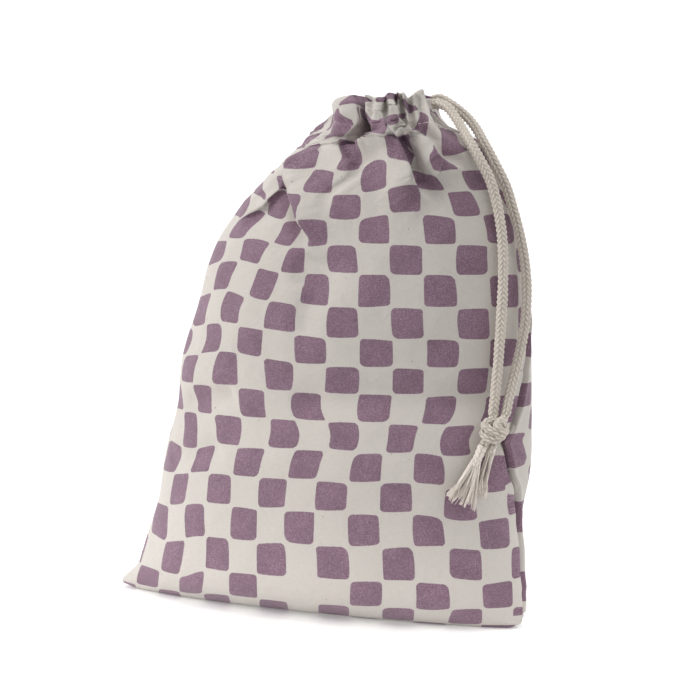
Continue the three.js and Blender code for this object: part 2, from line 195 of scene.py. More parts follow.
camera_data = bpy.data.cameras.new("camera")
camera_data.lens = SENSOR_MM * FOCAL_PIXELS / PICTURE_PIXELS
camera_data.sensor_width = SENSOR_MM
camera_data.clip_start = 0.01
camera = bpy.data.objects.new("camera", camera_data)
camera.location = in_view(EYE)[0] * MM
camera.rotation_euler = (math.pi / 2 - math.atan(EYE_LEVEL_PIXELS / FOCAL_PIXELS), 0, VIEW_TURN)
bpy.context.collection.objects.link(camera)
bpy.context.scene.camera = camera


# Curves, noise and meshes
SPAN_STEPS = 40
NOISE_CELLS = 64


def smoothstep(value):
    t = np.clip(value, 0, 1)
    return t * t * (3 - 2 * t)


def between(value, low, high):
    """0 up to the low value, rising smoothly to 1 at the high one."""
    return smoothstep((value - low) / (high - low))


def mix(a, b, share):
    return a + (b - a) * share


def bump(value, centre, width):
    """1 at the centre, falling off smoothly over the width."""
    return np.exp(-(((value - centre) / width) ** 2))


def rows_at(table, place):
    """Rows of a table, whose first column is the place, on a smooth curve through its rows."""
    table = np.asarray(table, float)
    t = table[:, 0]
    z = np.clip(np.asarray(place, float), t[0], t[-1])
    i = np.clip(np.searchsorted(t, z, side="right") - 1, 0, len(t) - 2)
    h = t[i + 1] - t[i]
    f = ((z - t[i]) / h)[..., None]
    a, b = table[i], table[i + 1]
    before = np.maximum(i - 1, 0)
    after = np.minimum(i + 2, len(t) - 1)
    slope_a = (b - table[before]) / (t[i + 1] - t[before])[..., None] * h[..., None]
    slope_b = (table[after] - a) / (t[after] - t[i])[..., None] * h[..., None]
    f2 = f * f
    f3 = f * f * f
    return (
        (2 * f3 - 3 * f2 + 1) * a + (f3 - 2 * f2 + f) * slope_a
        + (3 * f2 - 2 * f3) * b + (f3 - f2) * slope_b
    )


def value_noise(x, y, seed):
    """Smooth noise from -1 to 1 with features one unit apart."""
    grid = np.random.default_rng(seed).uniform(-1, 1, (NOISE_CELLS, NOISE_CELLS))
    column = np.floor(x).astype(int)
    row = np.floor(y).astype(int)

    def eased(t):
        return t * t * t * (t * (t * 6 - 15) + 10)

    def corner(i, j):
        return grid[(column + i) % NOISE_CELLS, (row + j) % NOISE_CELLS]

    fx = eased(x - column)
    fy = eased(y - row)
    return mix(mix(corner(0, 0), corner(1, 0), fx), mix(corner(0, 1), corner(1, 1), fx), fy)


def make_mesh(name, points, faces):
    """A smooth object from points in millimetres and a list of faces."""
    mesh = bpy.data.meshes.new(name)
    mesh.from_pydata((np.asarray(points) * MM).tolist(), [], faces)
    mesh.validate()
    mesh.polygons.foreach_set("use_smooth", [True] * len(mesh.polygons))
    obj = bpy.data.objects.new(name, mesh)
    bpy.context.collection.objects.link(obj)
    return obj


def corner_points(obj):
    """The point that each corner of the object's faces stands on."""
    index = np.zeros(len(obj.data.loops), int)
    obj.data.loops.foreach_get("vertex_index", index)
    return index


def join(objects, name):
    """One object from several."""
    bpy.ops.object.select_all(action="DESELECT")
    for obj in objects:
        obj.select_set(True)
    bpy.context.view_layer.objects.active = objects[0]
    bpy.ops.object.join()
    objects[0].name = name
    objects[0].data.name = name
    return objects[0]


def catmull(points):
    """A smooth line through the points, in many short steps."""
    p = np.asarray(points, float)
    p = np.vstack([2 * p[0] - p[1], p, 2 * p[-1] - p[-2]])
    out = []
    for i in range(1, len(p) - 2):
        p0, p1, p2, p3 = p[i - 1], p[i], p[i + 1], p[i + 2]
        t0 = 0.0
        t1 = t0 + np.linalg.norm(p1 - p0) ** 0.5
        t2 = t1 + np.linalg.norm(p2 - p1) ** 0.5
        t3 = t2 + np.linalg.norm(p3 - p2) ** 0.5
        t = np.linspace(t1, t2, SPAN_STEPS, endpoint=False)[:, None]
        a1 = (t1 - t) / (t1 - t0) * p0 + (t - t0) / (t1 - t0) * p1
        a2 = (t2 - t) / (t2 - t1) * p1 + (t - t1) / (t2 - t1) * p2
        a3 = (t3 - t) / (t3 - t2) * p2 + (t - t2) / (t3 - t2) * p3
        b1 = (t2 - t) / (t2 - t0) * a1 + (t - t0) / (t2 - t0) * a2
        b2 = (t3 - t) / (t3 - t1) * a2 + (t - t1) / (t3 - t1) * a3
        out.append((t2 - t) / (t2 - t1) * b1 + (t - t1) / (t2 - t1) * b2)
    out.append(p[-2][None])
    return np.vstack(out)


def even_steps(line, step):
    """The line resampled to even steps, with its length."""
    run = np.concatenate([[0], np.cumsum(np.linalg.norm(np.diff(line, axis=0), axis=1))])
    count = max(2, int(round(run[-1] / step)) + 1)
    at = np.linspace(0, run[-1], count)
    return np.stack([np.interp(at, run, line[:, k]) for k in range(3)], 1), run[-1]


def sides_along(line, first_side):
    """Two directions across the line at each of its points, without twist."""
    along = np.gradient(line, axis=0)
    along /= np.linalg.norm(along, axis=1, keepdims=True)
    side = np.asarray(first_side, float)
    sides = []
    for t in along:
        side = side - t * side.dot(t)
        side /= np.linalg.norm(side)
        sides.append(side)
    sides = np.array(sides)
    return sides, np.cross(along, sides)


def tube_faces(rings, sides):
    """The skin of a tube, whose points go round one ring after the other."""
    faces = []
    for i in range(rings - 1):
        for k in range(sides):
            j = (k + 1) % sides
            faces.append((i * sides + k, i * sides + j, (i + 1) * sides + j, (i + 1) * sides + k))
    return faces


# The cord
CORD_RADIUS = 3.0
KNOT_CORD_RADIUS = 2.55
STUB_RADIUS = 2.9
STUB_TAPER = 0.1
BRAID = {
    "columns": 6, "sides": 42, "step": 0.42, "pitch": 2.9, "slant": 0.992, "relief": 1.05,
    "crown_along": 0.7, "crown_across": 0.6, "wobble": 0.05,
}

# Each strand's route in the view, from the channel's end to the knot.
INNER_STRAND = [
    (65.6, 301, 31.8), (68.6, 301.4, 33.4), (73.4, 299.3, 37), (78.4, 292, 43), (82.4, 284.1, 49.6),
    (85.9, 276.7, 56.3), (89.4, 269.7, 60.8), (93.3, 262, 63.2), (96.6, 254.5, 64), (99.3, 245, 65),
    (101.8, 230.5, 67.4), (102.9, 213.5, 70), (102.6, 195, 72.7), (101.4, 175, 74.7), (100.2, 156, 75.2),
    (98.7, 138, 75.2), (97.5, 125, 75.2),
]
OUTER_STRAND = [
    (66.2, 304.5, 25.2), (70, 305, 27), (75.7, 301.9, 29.5), (80.6, 298, 32.3), (86, 292.6, 36.4),
    (90.2, 286, 42.4), (93.1, 279.2, 48.3), (96.4, 272.6, 52.4), (99.4, 266, 55), (105.4, 253.6, 57.2),
    (110, 238.4, 59.4), (113.4, 225, 60.6), (116, 211.4, 61.4), (117.1, 195, 63.2), (116, 177, 66.6),
    (111.7, 155.6, 70.8), (107.7, 140.5, 73.2), (104.3, 125, 75.6),
]


def braided(name, line, radius=CORD_RADIUS, turn=0.0, taper=0.0):
    """A cord as a closed skin over its braid: slanting stitches in columns, each column against the next."""
    line, length = even_steps(line, BRAID["step"])
    side_a, side_b = sides_along(line, (1, 0, 0))
    count = len(line)
    sides = BRAID["sides"]
    s = np.linspace(0, length, count)[:, None]
    angle = np.arange(sides)[None, :] / sides * FULL_TURN
    column = (angle / FULL_TURN * BRAID["columns"] + turn) % BRAID["columns"]
    local = column % 1.0
    odd = np.floor(column) % 2
    lean = np.where(odd > 0, 1, -1)
    phase = s / BRAID["pitch"] + lean * (local - 0.5) * BRAID["slant"] + odd * 0.5
    stitch = np.abs(2 * (phase % 1.0) - 1)
    height = np.cos(stitch * math.pi / 2) ** BRAID["crown_along"]
    height = height * (1 - np.abs(2 * local - 1) ** 2.2) ** BRAID["crown_across"]
    wobble = BRAID["wobble"] * value_noise(s / 9 + 3, angle * 0.6 + 5, 11)
    r = radius * (1 + wobble) - BRAID["relief"] * (1 - height)
    r = r * (1 - taper * (s / length))
    ring = side_a[:, None] * np.cos(angle)[..., None] + side_b[:, None] * np.sin(angle)[..., None]
    skin = (line[:, None] + ring * r[..., None]).reshape(-1, 3)
    faces = tube_faces(count, sides)
    first = len(skin)
    for k in range(sides):
        j = (k + 1) % sides
        faces.append((first, j, k))
        faces.append((first + 1, (count - 1) * sides + k, (count - 1) * sides + j))
    obj = make_mesh(name, np.vstack([skin, line[:1], line[-1:]]), faces)
    # how far each point sinks between the stitches; the cord's material darkens it there as painted shade
    sunk_painted_shade = obj.data.attributes.new("sunk_painted_shade", "FLOAT", "POINT")
    sunk_painted_shade.data.foreach_set("value", np.append((1 - height).ravel(), [0, 0]))
    # coordinates round and along the cord, for whoever gives it another material
    uv = obj.data.uv_layers.new(name="along")
    index = np.minimum(corner_points(obj), count * sides - 1)
    u = (index % sides) / sides
    v = (index // sides) * BRAID["step"] / 10
    uv.data.foreach_set("uv", np.stack([u, v], 1).ravel())
    return obj, line, length


cord_inner, inner_path, inner_length = braided("cord_strand_inner", catmull(in_view(INNER_STRAND)), turn=0.5)
cord_outer, outer_path, outer_length = braided("cord_strand_outer", catmull(in_view(OUTER_STRAND)))


# The knot
KNOT_CENTRE = (97.5, 116.8, 78)
# Routes of the knot's turns in the view, from the knot's centre.
KNOT_TURNS = [
    [(0.2, 8.4, -2.8), (-0.6, 5.8, -0.6), (-3.6, 4.9, 1.6), (-5.0, 3.2, 3.0), (-2.6, 0.9, 4.9),
     (0.8, -1.0, 5.2), (3.8, -2.4, 3.0), (4.4, -2.6, -1.4), (0.4, -2.2, -4.0), (-4.6, -1.2, -2.6),
     (-5.8, -1.4, 1.2), (-4.4, -3.0, 4.0), (-0.8, -4.4, 4.6), (3.0, -3.8, 2.6), (4.6, -2.6, -0.6),
     (1.0, -2.0, -2.6)],
    [(6.8, 8.4, -2.8), (5.6, 6.2, -0.4), (2.4, 4.6, 2.8), (1.4, 2.6, 4.4), (3.6, 0.4, 4.6),
     (5.6, -0.8, 1.8), (4.8, 0.2, -2.0), (0.4, 1.4, -3.6), (-4.0, 1.6, -2.4)],
    [(1.0, 5.0, 2.2), (4.2, 4.8, 2.4), (5.9, 2.2, 1.6), (5.6, -1.2, 1.4), (3.0, -3.0, 0.6)],
    [(-1.6, -2.4, -0.6), (-3.8, -5.4, -0.4), (-5.6, -8.2, -0.4)],
    [(1.0, -3.0, -2.4), (0.4, -6.2, -3.4), (-0.1, -8.4, -3.8)],
]

knot_parts = []
for number, route in enumerate(KNOT_TURNS):
    places = in_view(np.array(route) + np.array(KNOT_CENTRE))
    part, _, _ = braided(f"turn_{number}", catmull(places), KNOT_CORD_RADIUS, turn=0.3 * number)
    knot_parts.append(part)
cord_knot = join(knot_parts, "cord_knot_tied")


# The frayed ends: where each stub starts, where it opens and where its yarns end in the view; how many
# locks it opens into and yarns each has, how far the outer locks reach to the side, and the yarns' length
LONG_TAIL = {
    "start": (91.8, 108.3, 77.6), "head": (87.6, 98.3, 77.2), "tip": (81, 77.4, 77),
    "locks": 9, "per_lock": 22, "reach": (-9.2, 6.6), "length": 24.5, "seed": 5,
}
SHORT_TAIL = {
    "start": (97.4, 108, 74.2), "head": (96.4, 104.4, 74.2), "tip": (91.5, 78, 74.8),
    "locks": 5, "per_lock": 20, "reach": (-4.6, 2.2), "length": 27, "seed": 8,
}
YARN_TIP = 0.55


def yarn(line, radius, sides=4):
    """Points and faces of one thin yarn that narrows to its tip."""
    a, b = sides_along(line, (0.3, 0.2, 1))
    count = len(line)
    angle = np.arange(sides) / sides * FULL_TURN
    r = radius * np.linspace(1, YARN_TIP, count)[:, None, None]
    ring = a[:, None] * np.cos(angle)[None, :, None] + b[:, None] * np.sin(angle)[None, :, None]
    faces = tube_faces(count, sides)
    faces.append(tuple(range(sides))[::-1])
    faces.append(tuple((count - 1) * sides + k for k in range(sides)))
    return (line[:, None] + ring * r).reshape(-1, 3), faces


def make_yarns(name, yarns):
    """One object from the points and faces of many yarns."""
    points, faces = [], []
    total = 0
    for new_points, new_faces in yarns:
        points.append(new_points)
        faces.extend(tuple(index + total for index in face) for face in new_faces)
        total += len(new_points)
    return make_mesh(name, np.vstack(points), faces)


def frayed_end(name, tail):
    """A braided stub and the yarns that open out of it, in wavy locks that curl at their tips."""
    draw = np.random.default_rng(tail["seed"])
    start, head, tip = (in_view(tail[key])[0] for key in ("start", "head", "tip"))
    stub_line = np.linspace(start, head + (head - start) * 0.15, 12)
    stub, _, _ = braided(name + "_stub", stub_line, STUB_RADIUS, taper=STUB_TAPER)
    down = tip - head
    down = down / np.linalg.norm(down)
    side = np.array([VIEW_COS, VIEW_SIN, 0.0])
    side = side - down * side.dot(down)
    side /= np.linalg.norm(side)
    front = np.cross(down, side)
    t = np.linspace(0, 1, 11)[:, None]
    spread = t**1.1
    tip_curl = smoothstep((t - 0.7) / 0.3)
    yarns = []
    for lock in range(tail["locks"]):
        share = (lock + 0.5) / tail["locks"]
        lock_across = mix(tail["reach"][0], tail["reach"][1], share) + draw.uniform(-0.7, 0.7)
        lock_deep = draw.uniform(-1.9, 1.9)
        lock_length = tail["length"] * draw.uniform(0.84, 1.06)
        lock_wave = draw.uniform(-0.9, 0.9)
        lock_curl = draw.uniform(-1.6, 1.6)
        lock_start = draw.uniform(-3.5, 1.0)
        for _ in range(tail["per_lock"]):
            root = draw.uniform(-1, 1, 2)
            root = root / max(1, np.linalg.norm(root))
            at_root = (share * 2 - 1) * 1.7 + root[0] * 0.9
            base = head + side * at_root + front * (root[1] * 1.9)
            end_across = lock_across + draw.normal(0, 0.55)
            end_deep = lock_deep + draw.normal(0, 0.5)
            size = lock_length * draw.uniform(0.86, 1.04)
            line = base + down * (lock_start + (size - lock_start) * t)
            line = line + side * (end_across - at_root) * spread + front * end_deep * spread
            own = draw.uniform(-1, 1)
            phase = draw.uniform(0, 6.28)
            line = line + side * (lock_wave * np.sin(t * 3.4) + 0.35 * own * t * np.sin(t * 9 + phase))
            line = line + side * tip_curl * (lock_curl + 0.5 * own)
            line = line + front * (0.3 * own * t * np.cos(t * 8 + phase) + tip_curl * 0.8 * own)
            line = line - down * tip_curl * abs(lock_curl) * 0.35
            yarns.append(yarn(line, draw.uniform(0.22, 0.34)))
    return join([stub, make_yarns(name + "_yarns", yarns)], name)


frayed_long = frayed_end("frayed_end_first", LONG_TAIL)
frayed_short = frayed_end("frayed_end_second", SHORT_TAIL)


# The cloth's shape
MOUTH_HEIGHT = 313.0
STITCH_UP = 291.5
CLOTH_THICK = 1.6
GATHERED_THICK = 2.6
# Heights between which the cloth gathers, its layers thicken, its edge is shaped and the cord comes out.
GATHERS = (270, 304)
THICKENS = (246, 298)
EDGE_SHAPED = (272, MOUTH_HEIGHT)
CORD_COMES_OUT = (291, 299)
FRONT_COLUMNS = 270
BACK_COLUMNS = 120
RING_COLUMNS = FRONT_COLUMNS + BACK_COLUMNS
INNER_STRIDE = 3
SECTION_STEPS = 2880

# Sections by height: left and right ends along X, depth to the front and the back, pointedness.
LEVELS = [
    (0, -127, 124, 14, 30, 1.3), (3.5, -138, 130.5, 24, 37, 1.35), (15, -127, 131, 42, 44, 1.3),
    (35, -121, 128, 50, 50, 1.2), (60, -112, 126, 53, 52, 1.1), (90, -106, 131, 55, 54, 1.05),
    (120, -97, 132, 51, 54, 1), (150, -93, 131, 51, 54, 1), (180, -81.5, 130, 53, 55, 1),
    (210, -72.5, 127, 50, 54, 1), (230, -62, 124, 46, 50, 1), (250, -45, 117, 41, 44, 1),
    (270, -23.5, 107, 34, 36, 1), (281, -11.5, 99.5, 30, 31, 0.97), (290, -6, 92, 26, 26, 0.95),
    (296, -1.4, 85, 23, 22.5, 0.93), (303, 3.6, 78, 20, 19, 0.9), (309, 10.6, 74, 18.5, 18.3, 0.9),
    (313, 16.5, 73, 18, 18, 0.9),
]
# How far the sewn foot stands forward of the middle, and the height where that has faded.
FOOT_FORWARD = 9
FOOT_HEIGHT = 45
# Height, then how far round the right and left seam sit from the ends of the section, in radians.
SEAMS = [
    (0, 0, 0), (50, 0, 0.1), (62, 0.085, 0.12), (72, 0.15, 0.15), (81, 0.21, 0.18), (89, 0.3, 0.2),
    (97, 0.35, 0.22), (104, 0.39, 0.25), (109, 0.42, 0.26), (114, 0.34, 0.28), (121, 0.295, 0.3),
    (127, 0.24, 0.32), (135, 0.19, 0.34), (147, 0.12, 0.37), (162, 0.05, 0.4), (180, 0, 0.45),
    (220, 0, 0.55), (313, 0, 0.6),
]
# Folds in the view, each listed downwards or to the right: points across and up, height, the slope's width
# on the left and right (below and above where a line runs to the right), and how far the edge laps over.
FOLDS = [
    ([(36, 312), (34.5, 303), (36, 295), (43, 280.5), (47, 269.5), (49.8, 262), (51.3, 256), (54, 251),
      (58.5, 246), (64, 242.5)], 12.5, 12, 1.7, 3.8),
    ([(42.5, 303), (43, 294), (47.5, 287.5), (56.5, 281), (61, 275.5), (64, 269), (68, 264), (84, 261)],
     11, 9, 1.7, 3.4),
    ([(23.5, 309), (23.5, 300), (23, 295), (20.5, 291), (17, 286), (15.5, 280)], 8.5, 13, 1.8, 3),
    ([(20, 276), (24, 277), (29, 279.5), (34, 282.5), (38, 286)], 7, 7, 1.6, 2.5),
    ([(10.5, 284), (11.5, 276), (15.5, 268), (25, 262)], 3.2, 7, 1.5, 1.5),
    ([(-3.6, 281), (-6.6, 277), (-14, 267), (-15.5, 261.5), (-14, 255.5), (-12.4, 249.5), (-9.5, 242),
      (-8, 235), (-5.5, 227), (-2.2, 218)], 6, 1.7, 13, 3),
    ([(-17, 263), (-25, 252), (-32.5, 244), (-39, 241), (-50, 233)], 4.5, 9, 1.6, 2.5),
    ([(-4, 214), (-9, 205), (-12, 195)], -2.5, 6, 8, 0),
    ([(-20, 130), (6, 130), (35, 134), (64, 130), (90, 131), (110, 122)], -4, 11, 11, 0),
    ([(10, 216), (-1, 197), (-9, 180), (-12, 165)], -3, 8, 10, 0),
    ([(-86, 123), (-66, 127), (-50, 133)], -4, 7, 7, 0),
    ([(-96, 88), (-75, 94), (-58, 102)], -3, 7, 7, 0),
    ([(106, 112), (111, 104), (116, 95)], 2.2, 5, 5, 0),
]
# Folds of the back, in its own view: across runs to the pouch's left there.
BACK_FOLDS = [
    ([(-30, 292), (-36, 272), (-30, 250), (-40, 225)], 4.5, 5, 7, 0),
    ([(-62, 280), (-72, 262), (-78, 240)], 4, 5, 6, 0),
    ([(-48, 290), (-52, 262), (-50, 236)], -4, 6, 6, 0),
    ([(-90, 128), (-50, 136), (-5, 130), (40, 136)], -4, 12, 12, 0),
    ([(-60, 92), (-20, 74), (20, 70)], -3, 12, 12, 0),
]
# The deep pocket under the mouth: its foot's height at one place across and the foot's slope, the height
# where it gets shallower, and its depth.
POCKET = {"across": 24.6, "foot": 278.5, "slope": 0.35, "top": 292, "depth": 30}
# Height, then where the pocket's middle lies and its half width.
POCKET_AT = [(281, 24.4, 4.6), (287, 25.6, 3.7), (294, 26.8, 2.2), (302, 26.8, 1.5), (313, 26.8, 1.5)]
# Front pleats: where across, height, half width. They spread a little from one place as they run down.
PLEATS = [
    (19, 5.5, 6), (30.2, 8, 1.9), (34, 5, 1.5), (40, 10.5, 2.3), (44.3, 7, 1.5), (49, 9, 1.8), (54, 6, 2),
    (60.5, 8, 3.3),
]
PLEAT_SPREAD = 0.008
PLEATS_MIDDLE = 40
# Waves round the rest of the gathered mouth.
BACK_WAVES = 14
BACK_WAVE_HEIGHT = 5.0
BACK_WAVE_TURN = 0.6
# Across, then the height of the mouth's edge there.
MOUTH_EDGE = [
    (4, 299), (8, 299), (13.6, 301), (17, 303.5), (20, 305.2), (24, 305.8), (27, 301), (29.3, 305.4),
    (34, 304.3), (40, 306.8), (48, 307.3), (51.6, 304.6), (56, 307.2), (61, 309.4), (64, 308),
    (67, 305.5), (73, 303), (82, 300),
]


def near_line(across, up, points):
    """Distance to a line of points, which side (1 is right), the share along it and the way off the line."""
    points = np.asarray(points, float)
    best = np.full(across.shape, 1e9)
    side, share, off_across, off_up = np.zeros((4, *across.shape))
    run = np.concatenate([[0], np.cumsum(np.hypot(*np.diff(points, axis=0).T))])
    for k in range(len(points) - 1):
        ax, ay = points[k]
        d = points[k + 1] - points[k]
        t = np.clip(((across - ax) * d[0] + (up - ay) * d[1]) / d.dot(d), 0, 1)
        rx = across - ax - t * d[0]
        ry = up - ay - t * d[1]
        away = np.hypot(rx, ry)
        closer = away < best
        size = np.hypot(*d)
        best = np.where(closer, away, best)
        side = np.where(closer, np.sign(d[0] * ry - d[1] * rx), side)
        share = np.where(closer, (run[k] + t * (run[k + 1] - run[k])) / run[-1], share)
        off_across = np.where(closer, -d[1] / size, off_across)
        off_up = np.where(closer, d[0] / size, off_up)
    return best, side, share, off_across, off_up


def fold_lift(folds, across, up):
    """How far the folds lift the cloth, and how far their edges move over the cloth beside them."""
    lift, lap_across, lap_up = np.zeros((3, *across.shape))
    for points, height, left, right, lap in folds:
        away, side, share, off_across, off_up = near_line(across, up, points)
        width = np.where(side > 0, right, left)
        if lap == 0:
            ends = smoothstep(share / 0.2 + 0.35) * smoothstep((1 - share) / 0.2 + 0.15)
            lift += height * bump(away, 0, width) * ends
            continue
        # a fold that comes out of the mouth has its full height there, and others rise from nothing
        first = 1.0 if points[0][1] > 300 else 0.0
        ends = smoothstep(share / 0.25 + first) * smoothstep((1 - share) / 0.3)
        low_side = 1 if right < left else -1
        low = side == low_side
        lift += height * bump(away, 0, width) * ends
        lift -= 0.45 * height * low * (bump(away, 5, 4) - 0.21 * np.exp(-away)) * ends
        move = np.where(low, 1 - smoothstep(away / (1.3 * min(left, right))), bump(away, 0, 4.5))
        lap_across += lap * low_side * off_across * move * ends
        lap_up += lap * low_side * off_up * move * ends
    return lift, lap_across, lap_up


def pocket_hollow(heights, across, ups):
    """How deep the pocket under the mouth lies below the cloth around it."""
    pocket = rows_at(POCKET_AT, heights)
    hollow = np.exp(-np.abs((across - pocket[:, 1:2]) / pocket[:, 2:3]) ** 3)
    hollow *= smoothstep((ups - POCKET["foot"] - POCKET["slope"] * (across - POCKET["across"])) / 4)
    return POCKET["depth"] * hollow * (1 - 0.6 * smoothstep((ups - POCKET["top"]) / 12))


def front_pleats(across, ups):
    """Pleats in the front of the gathered mouth, on cloth that is drawn in less at its left end."""
    pleats = -1 - 5.5 * smoothstep((across - 15) / 9)
    for at, height, half in PLEATS:
        centre = at + (MOUTH_HEIGHT - ups) * PLEAT_SPREAD * (at - PLEATS_MIDDLE)
        pleats += height * bump(across, centre, half)
    return pleats


def wrinkles(run, up, gathered):
    """Small uneven waves of the cloth by the distance round it and the height."""
    soft = 0.75 * value_noise(run / 38 + 1.3, up / 46 + 2.1, 3)
    slant = 0.42 * value_noise((run + 0.6 * up) / 19 + 7.7, (up - 0.4 * run) / 44 + 4.2, 4)
    fine = 0.16 * value_noise(run / 8.5 + 3.1, up / 13 + 9.4, 6)
    neck = smoothstep((up - 205) / 50)
    drawn = 1.1 * neck * value_noise(run / 7.5 + 0.4, up / 40 + 0.6, 9)
    return soft + slant + fine + drawn * (1 - 0.5 * gathered)


def seam_relief(ups, off, sign):
    """A side seam: a groove with a ridge on the back panel's side, and puckers across it."""
    pucker = 0.3 * np.sin(ups / 3.1 + 2.5 * value_noise(ups / 14, ups * 0, 21)) * bump(off, 0, 7)
    groove = -6 * bump(off, -sign * 0.5, 1.1)
    ridge = 1.6 * bump(off, -sign * 2.9, 1.3)
    return (groove + ridge + pucker) * smoothstep((ups - 3) / 8) * (1 - 0.6 * smoothstep((ups - 285) / 12))


def section_points(level, angle):
    """Points of smooth sections, from left, right, front, back, pointedness and shift forward."""
    left, right, front, back, pointed, forward = (level[:, k:k + 1] for k in range(6))
    sine = np.sin(angle)
    depth = np.where(sine > 0, front, back)
    x = (left + right) / 2 + (right - left) / 2 * np.cos(angle)
    y = -depth * np.sign(sine) * np.abs(sine) ** pointed - forward
    return x, y


def section_outwards(level, angle, middle):
    """Points of smooth sections, and the direction out of the cloth at each."""
    x, y = section_points(level, angle)
    half_step = math.pi / SECTION_STEPS
    after_x, after_y = section_points(level, angle + half_step)
    before_x, before_y = section_points(level, angle - half_step)
    dx = after_x - before_x
    dy = after_y - before_y
    size = np.hypot(dx, dy) + 1e-12
    nx, ny = -dy / size, dx / size
    flip = np.where(nx * (x - middle) + ny * y < 0, -1, 1)
    return x, y, nx * flip, ny * flip


def section_step(turn):
    """The number of the section's point at this angle."""
    return np.round(turn / FULL_TURN * SECTION_STEPS).astype(int) % SECTION_STEPS


def way_round(run, whole, step):
    """How far round its section each point lies from the point of this number, the shorter way."""
    off = (run - run[np.arange(len(run)), step][:, None]) % whole
    return np.where(off > whole / 2, off - whole, off)


def taken_at(values, run, at):
    """Values of a closed section, taken at other distances round it."""
    closed = np.vstack([values, values[:1]])
    return np.stack([np.interp(at, run, column) for column in closed.T], 1)


def seam_shares(front_columns, back_columns):
    """Shares round the front and the back panel where the columns lie, closer together by the right seam."""
    fine_front = front_columns // 9
    fine_back = back_columns // 6
    front = np.concatenate([
        np.linspace(0, 0.965, front_columns - fine_front, endpoint=False),
        np.linspace(0.965, 1, fine_front, endpoint=False),
    ])
    back = np.concatenate([
        np.linspace(0, 0.035, fine_back, endpoint=False),
        np.linspace(0.035, 1, back_columns - fine_back, endpoint=False),
    ])
    return front, back


def cloth_rings(heights, front_columns=FRONT_COLUMNS, back_columns=BACK_COLUMNS):
    """Rings of the pouch's outer and inner face at these heights, seam to seam round the front and back.

    The third result is how far across the view each point lies before the folds move it.
    """
    up = np.asarray(heights, float)[:, None]
    forward = FOOT_FORWARD * (1 - smoothstep(up / FOOT_HEIGHT))
    level = np.concatenate([rows_at(LEVELS, heights)[:, 1:], forward], 1)
    middle = (level[:, 0:1] + level[:, 1:2]) / 2
    angle = (np.arange(SECTION_STEPS)[None, :] + 0.5) / SECTION_STEPS * FULL_TURN
    x, y, nx, ny = section_outwards(level, angle, middle)
    across = x * VIEW_COS + y * VIEW_SIN
    ups = up * np.ones_like(x)
    gathered = between(up, *GATHERS)
    facing = smoothstep((nx * VIEW_SIN - ny * VIEW_COS + 0.1) / 0.5)
    facing_back = smoothstep((ny - 0.1) / 0.5)

    # folds, pocket and pleats; where the cord comes out, the mouth is drawn in and has no waves
    front_lift, lap_across, lap_up = fold_lift(FOLDS, across, ups)
    lift = facing * front_lift + facing_back * fold_lift(BACK_FOLDS, -x, ups)[0]
    lift -= facing * pocket_hollow(heights, across, ups)
    pleats = front_pleats(across, ups)
    wave = BACK_WAVE_HEIGHT * np.cos(BACK_WAVES * np.arctan2(-y, x - middle) + BACK_WAVE_TURN)
    by_cord = between(up, *CORD_COMES_OUT) * (x > middle)
    lift += gathered * (facing * pleats + (1 - facing) * wave * (1 - by_cord * (1 - facing_back)))
    lift -= by_cord * 5 * np.exp(-((y / 10) ** 4))

    # the seams and the small waves are placed by distances round the sections
    ox = x + nx * lift
    oy = y + ny * lift
    step = np.hypot(np.roll(ox, -1, 1) - ox, np.roll(oy, -1, 1) - oy)
    run = np.cumsum(step, axis=1) - step
    whole = step.sum(axis=1, keepdims=True)
    seams = rows_at(SEAMS, heights)
    right_step = section_step(np.clip(seams[:, 1], 0, None))
    left_step = section_step(math.pi + np.clip(seams[:, 2], 0, None))
    to_right = way_round(run, whole, right_step)
    to_left = way_round(run, whole, left_step)
    calm = 1 - 0.8 * bump(to_right, 0, 9) * smoothstep((up - 283) / 12)
    lift += wrinkles(run, ups, gathered) * calm * smoothstep(up / 12)
    lift += seam_relief(ups, to_right, 1)
    lift += seam_relief(ups, to_left, -1)

    # the mouth's edge, and the stitch line that pulls the channel's two layers together
    edge = rows_at(MOUTH_EDGE, across)[..., 1]
    z = ups + (edge - MOUTH_HEIGHT) * between(up, *EDGE_SHAPED) + 0.05 * gathered * facing * pleats
    lift -= 0.3 * bump(ups, STITCH_UP, 1.3) * smoothstep((across - 22) / 10)
    lift += 0.5 * smoothstep((ups - STITCH_UP) / 5) * smoothstep((MOUTH_HEIGHT - ups) / 4)

    thick = mix(CLOTH_THICK, GATHERED_THICK, between(up, *THICKENS))
    inset = np.concatenate([thick, -thick, -thick, -thick, 0 * thick, 0 * thick], 1)
    inner_x, inner_y = section_points(level + inset, angle)
    lap_across = facing * lap_across
    moved = np.stack([lap_across * VIEW_COS, lap_across * VIEW_SIN, facing * lap_up], 2)
    outer = np.stack([x + nx * lift, y + ny * lift, z], 2) + moved
    inner = np.stack([inner_x + nx * lift, inner_y + ny * lift, z], 2) + moved

    # columns at even distances along the cloth, from seam to seam
    step = np.linalg.norm(np.roll(outer, -1, 1)[..., :2] - outer[..., :2], axis=2)
    run = np.concatenate([np.zeros((len(step), 1)), np.cumsum(step, axis=1)], 1)
    front_share, back_share = seam_shares(front_columns, back_columns)
    results = [], [], []
    for i in range(len(up)):
        whole = run[i, -1]
        right = run[i, right_step[i]]
        left = run[i, left_step[i]]
        front = left - (left - right) * front_share
        back = right - (whole - left + right) * back_share
        at = np.concatenate([front, back]) % whole
        for result, values in zip(results, (outer[i], inner[i], across[i][:, None])):
            result.append(taken_at(values, run[i], at))
    outer_rings, inner_rings, ring_across = (np.array(result) for result in results)
    return outer_rings, inner_rings, ring_across[..., 0]


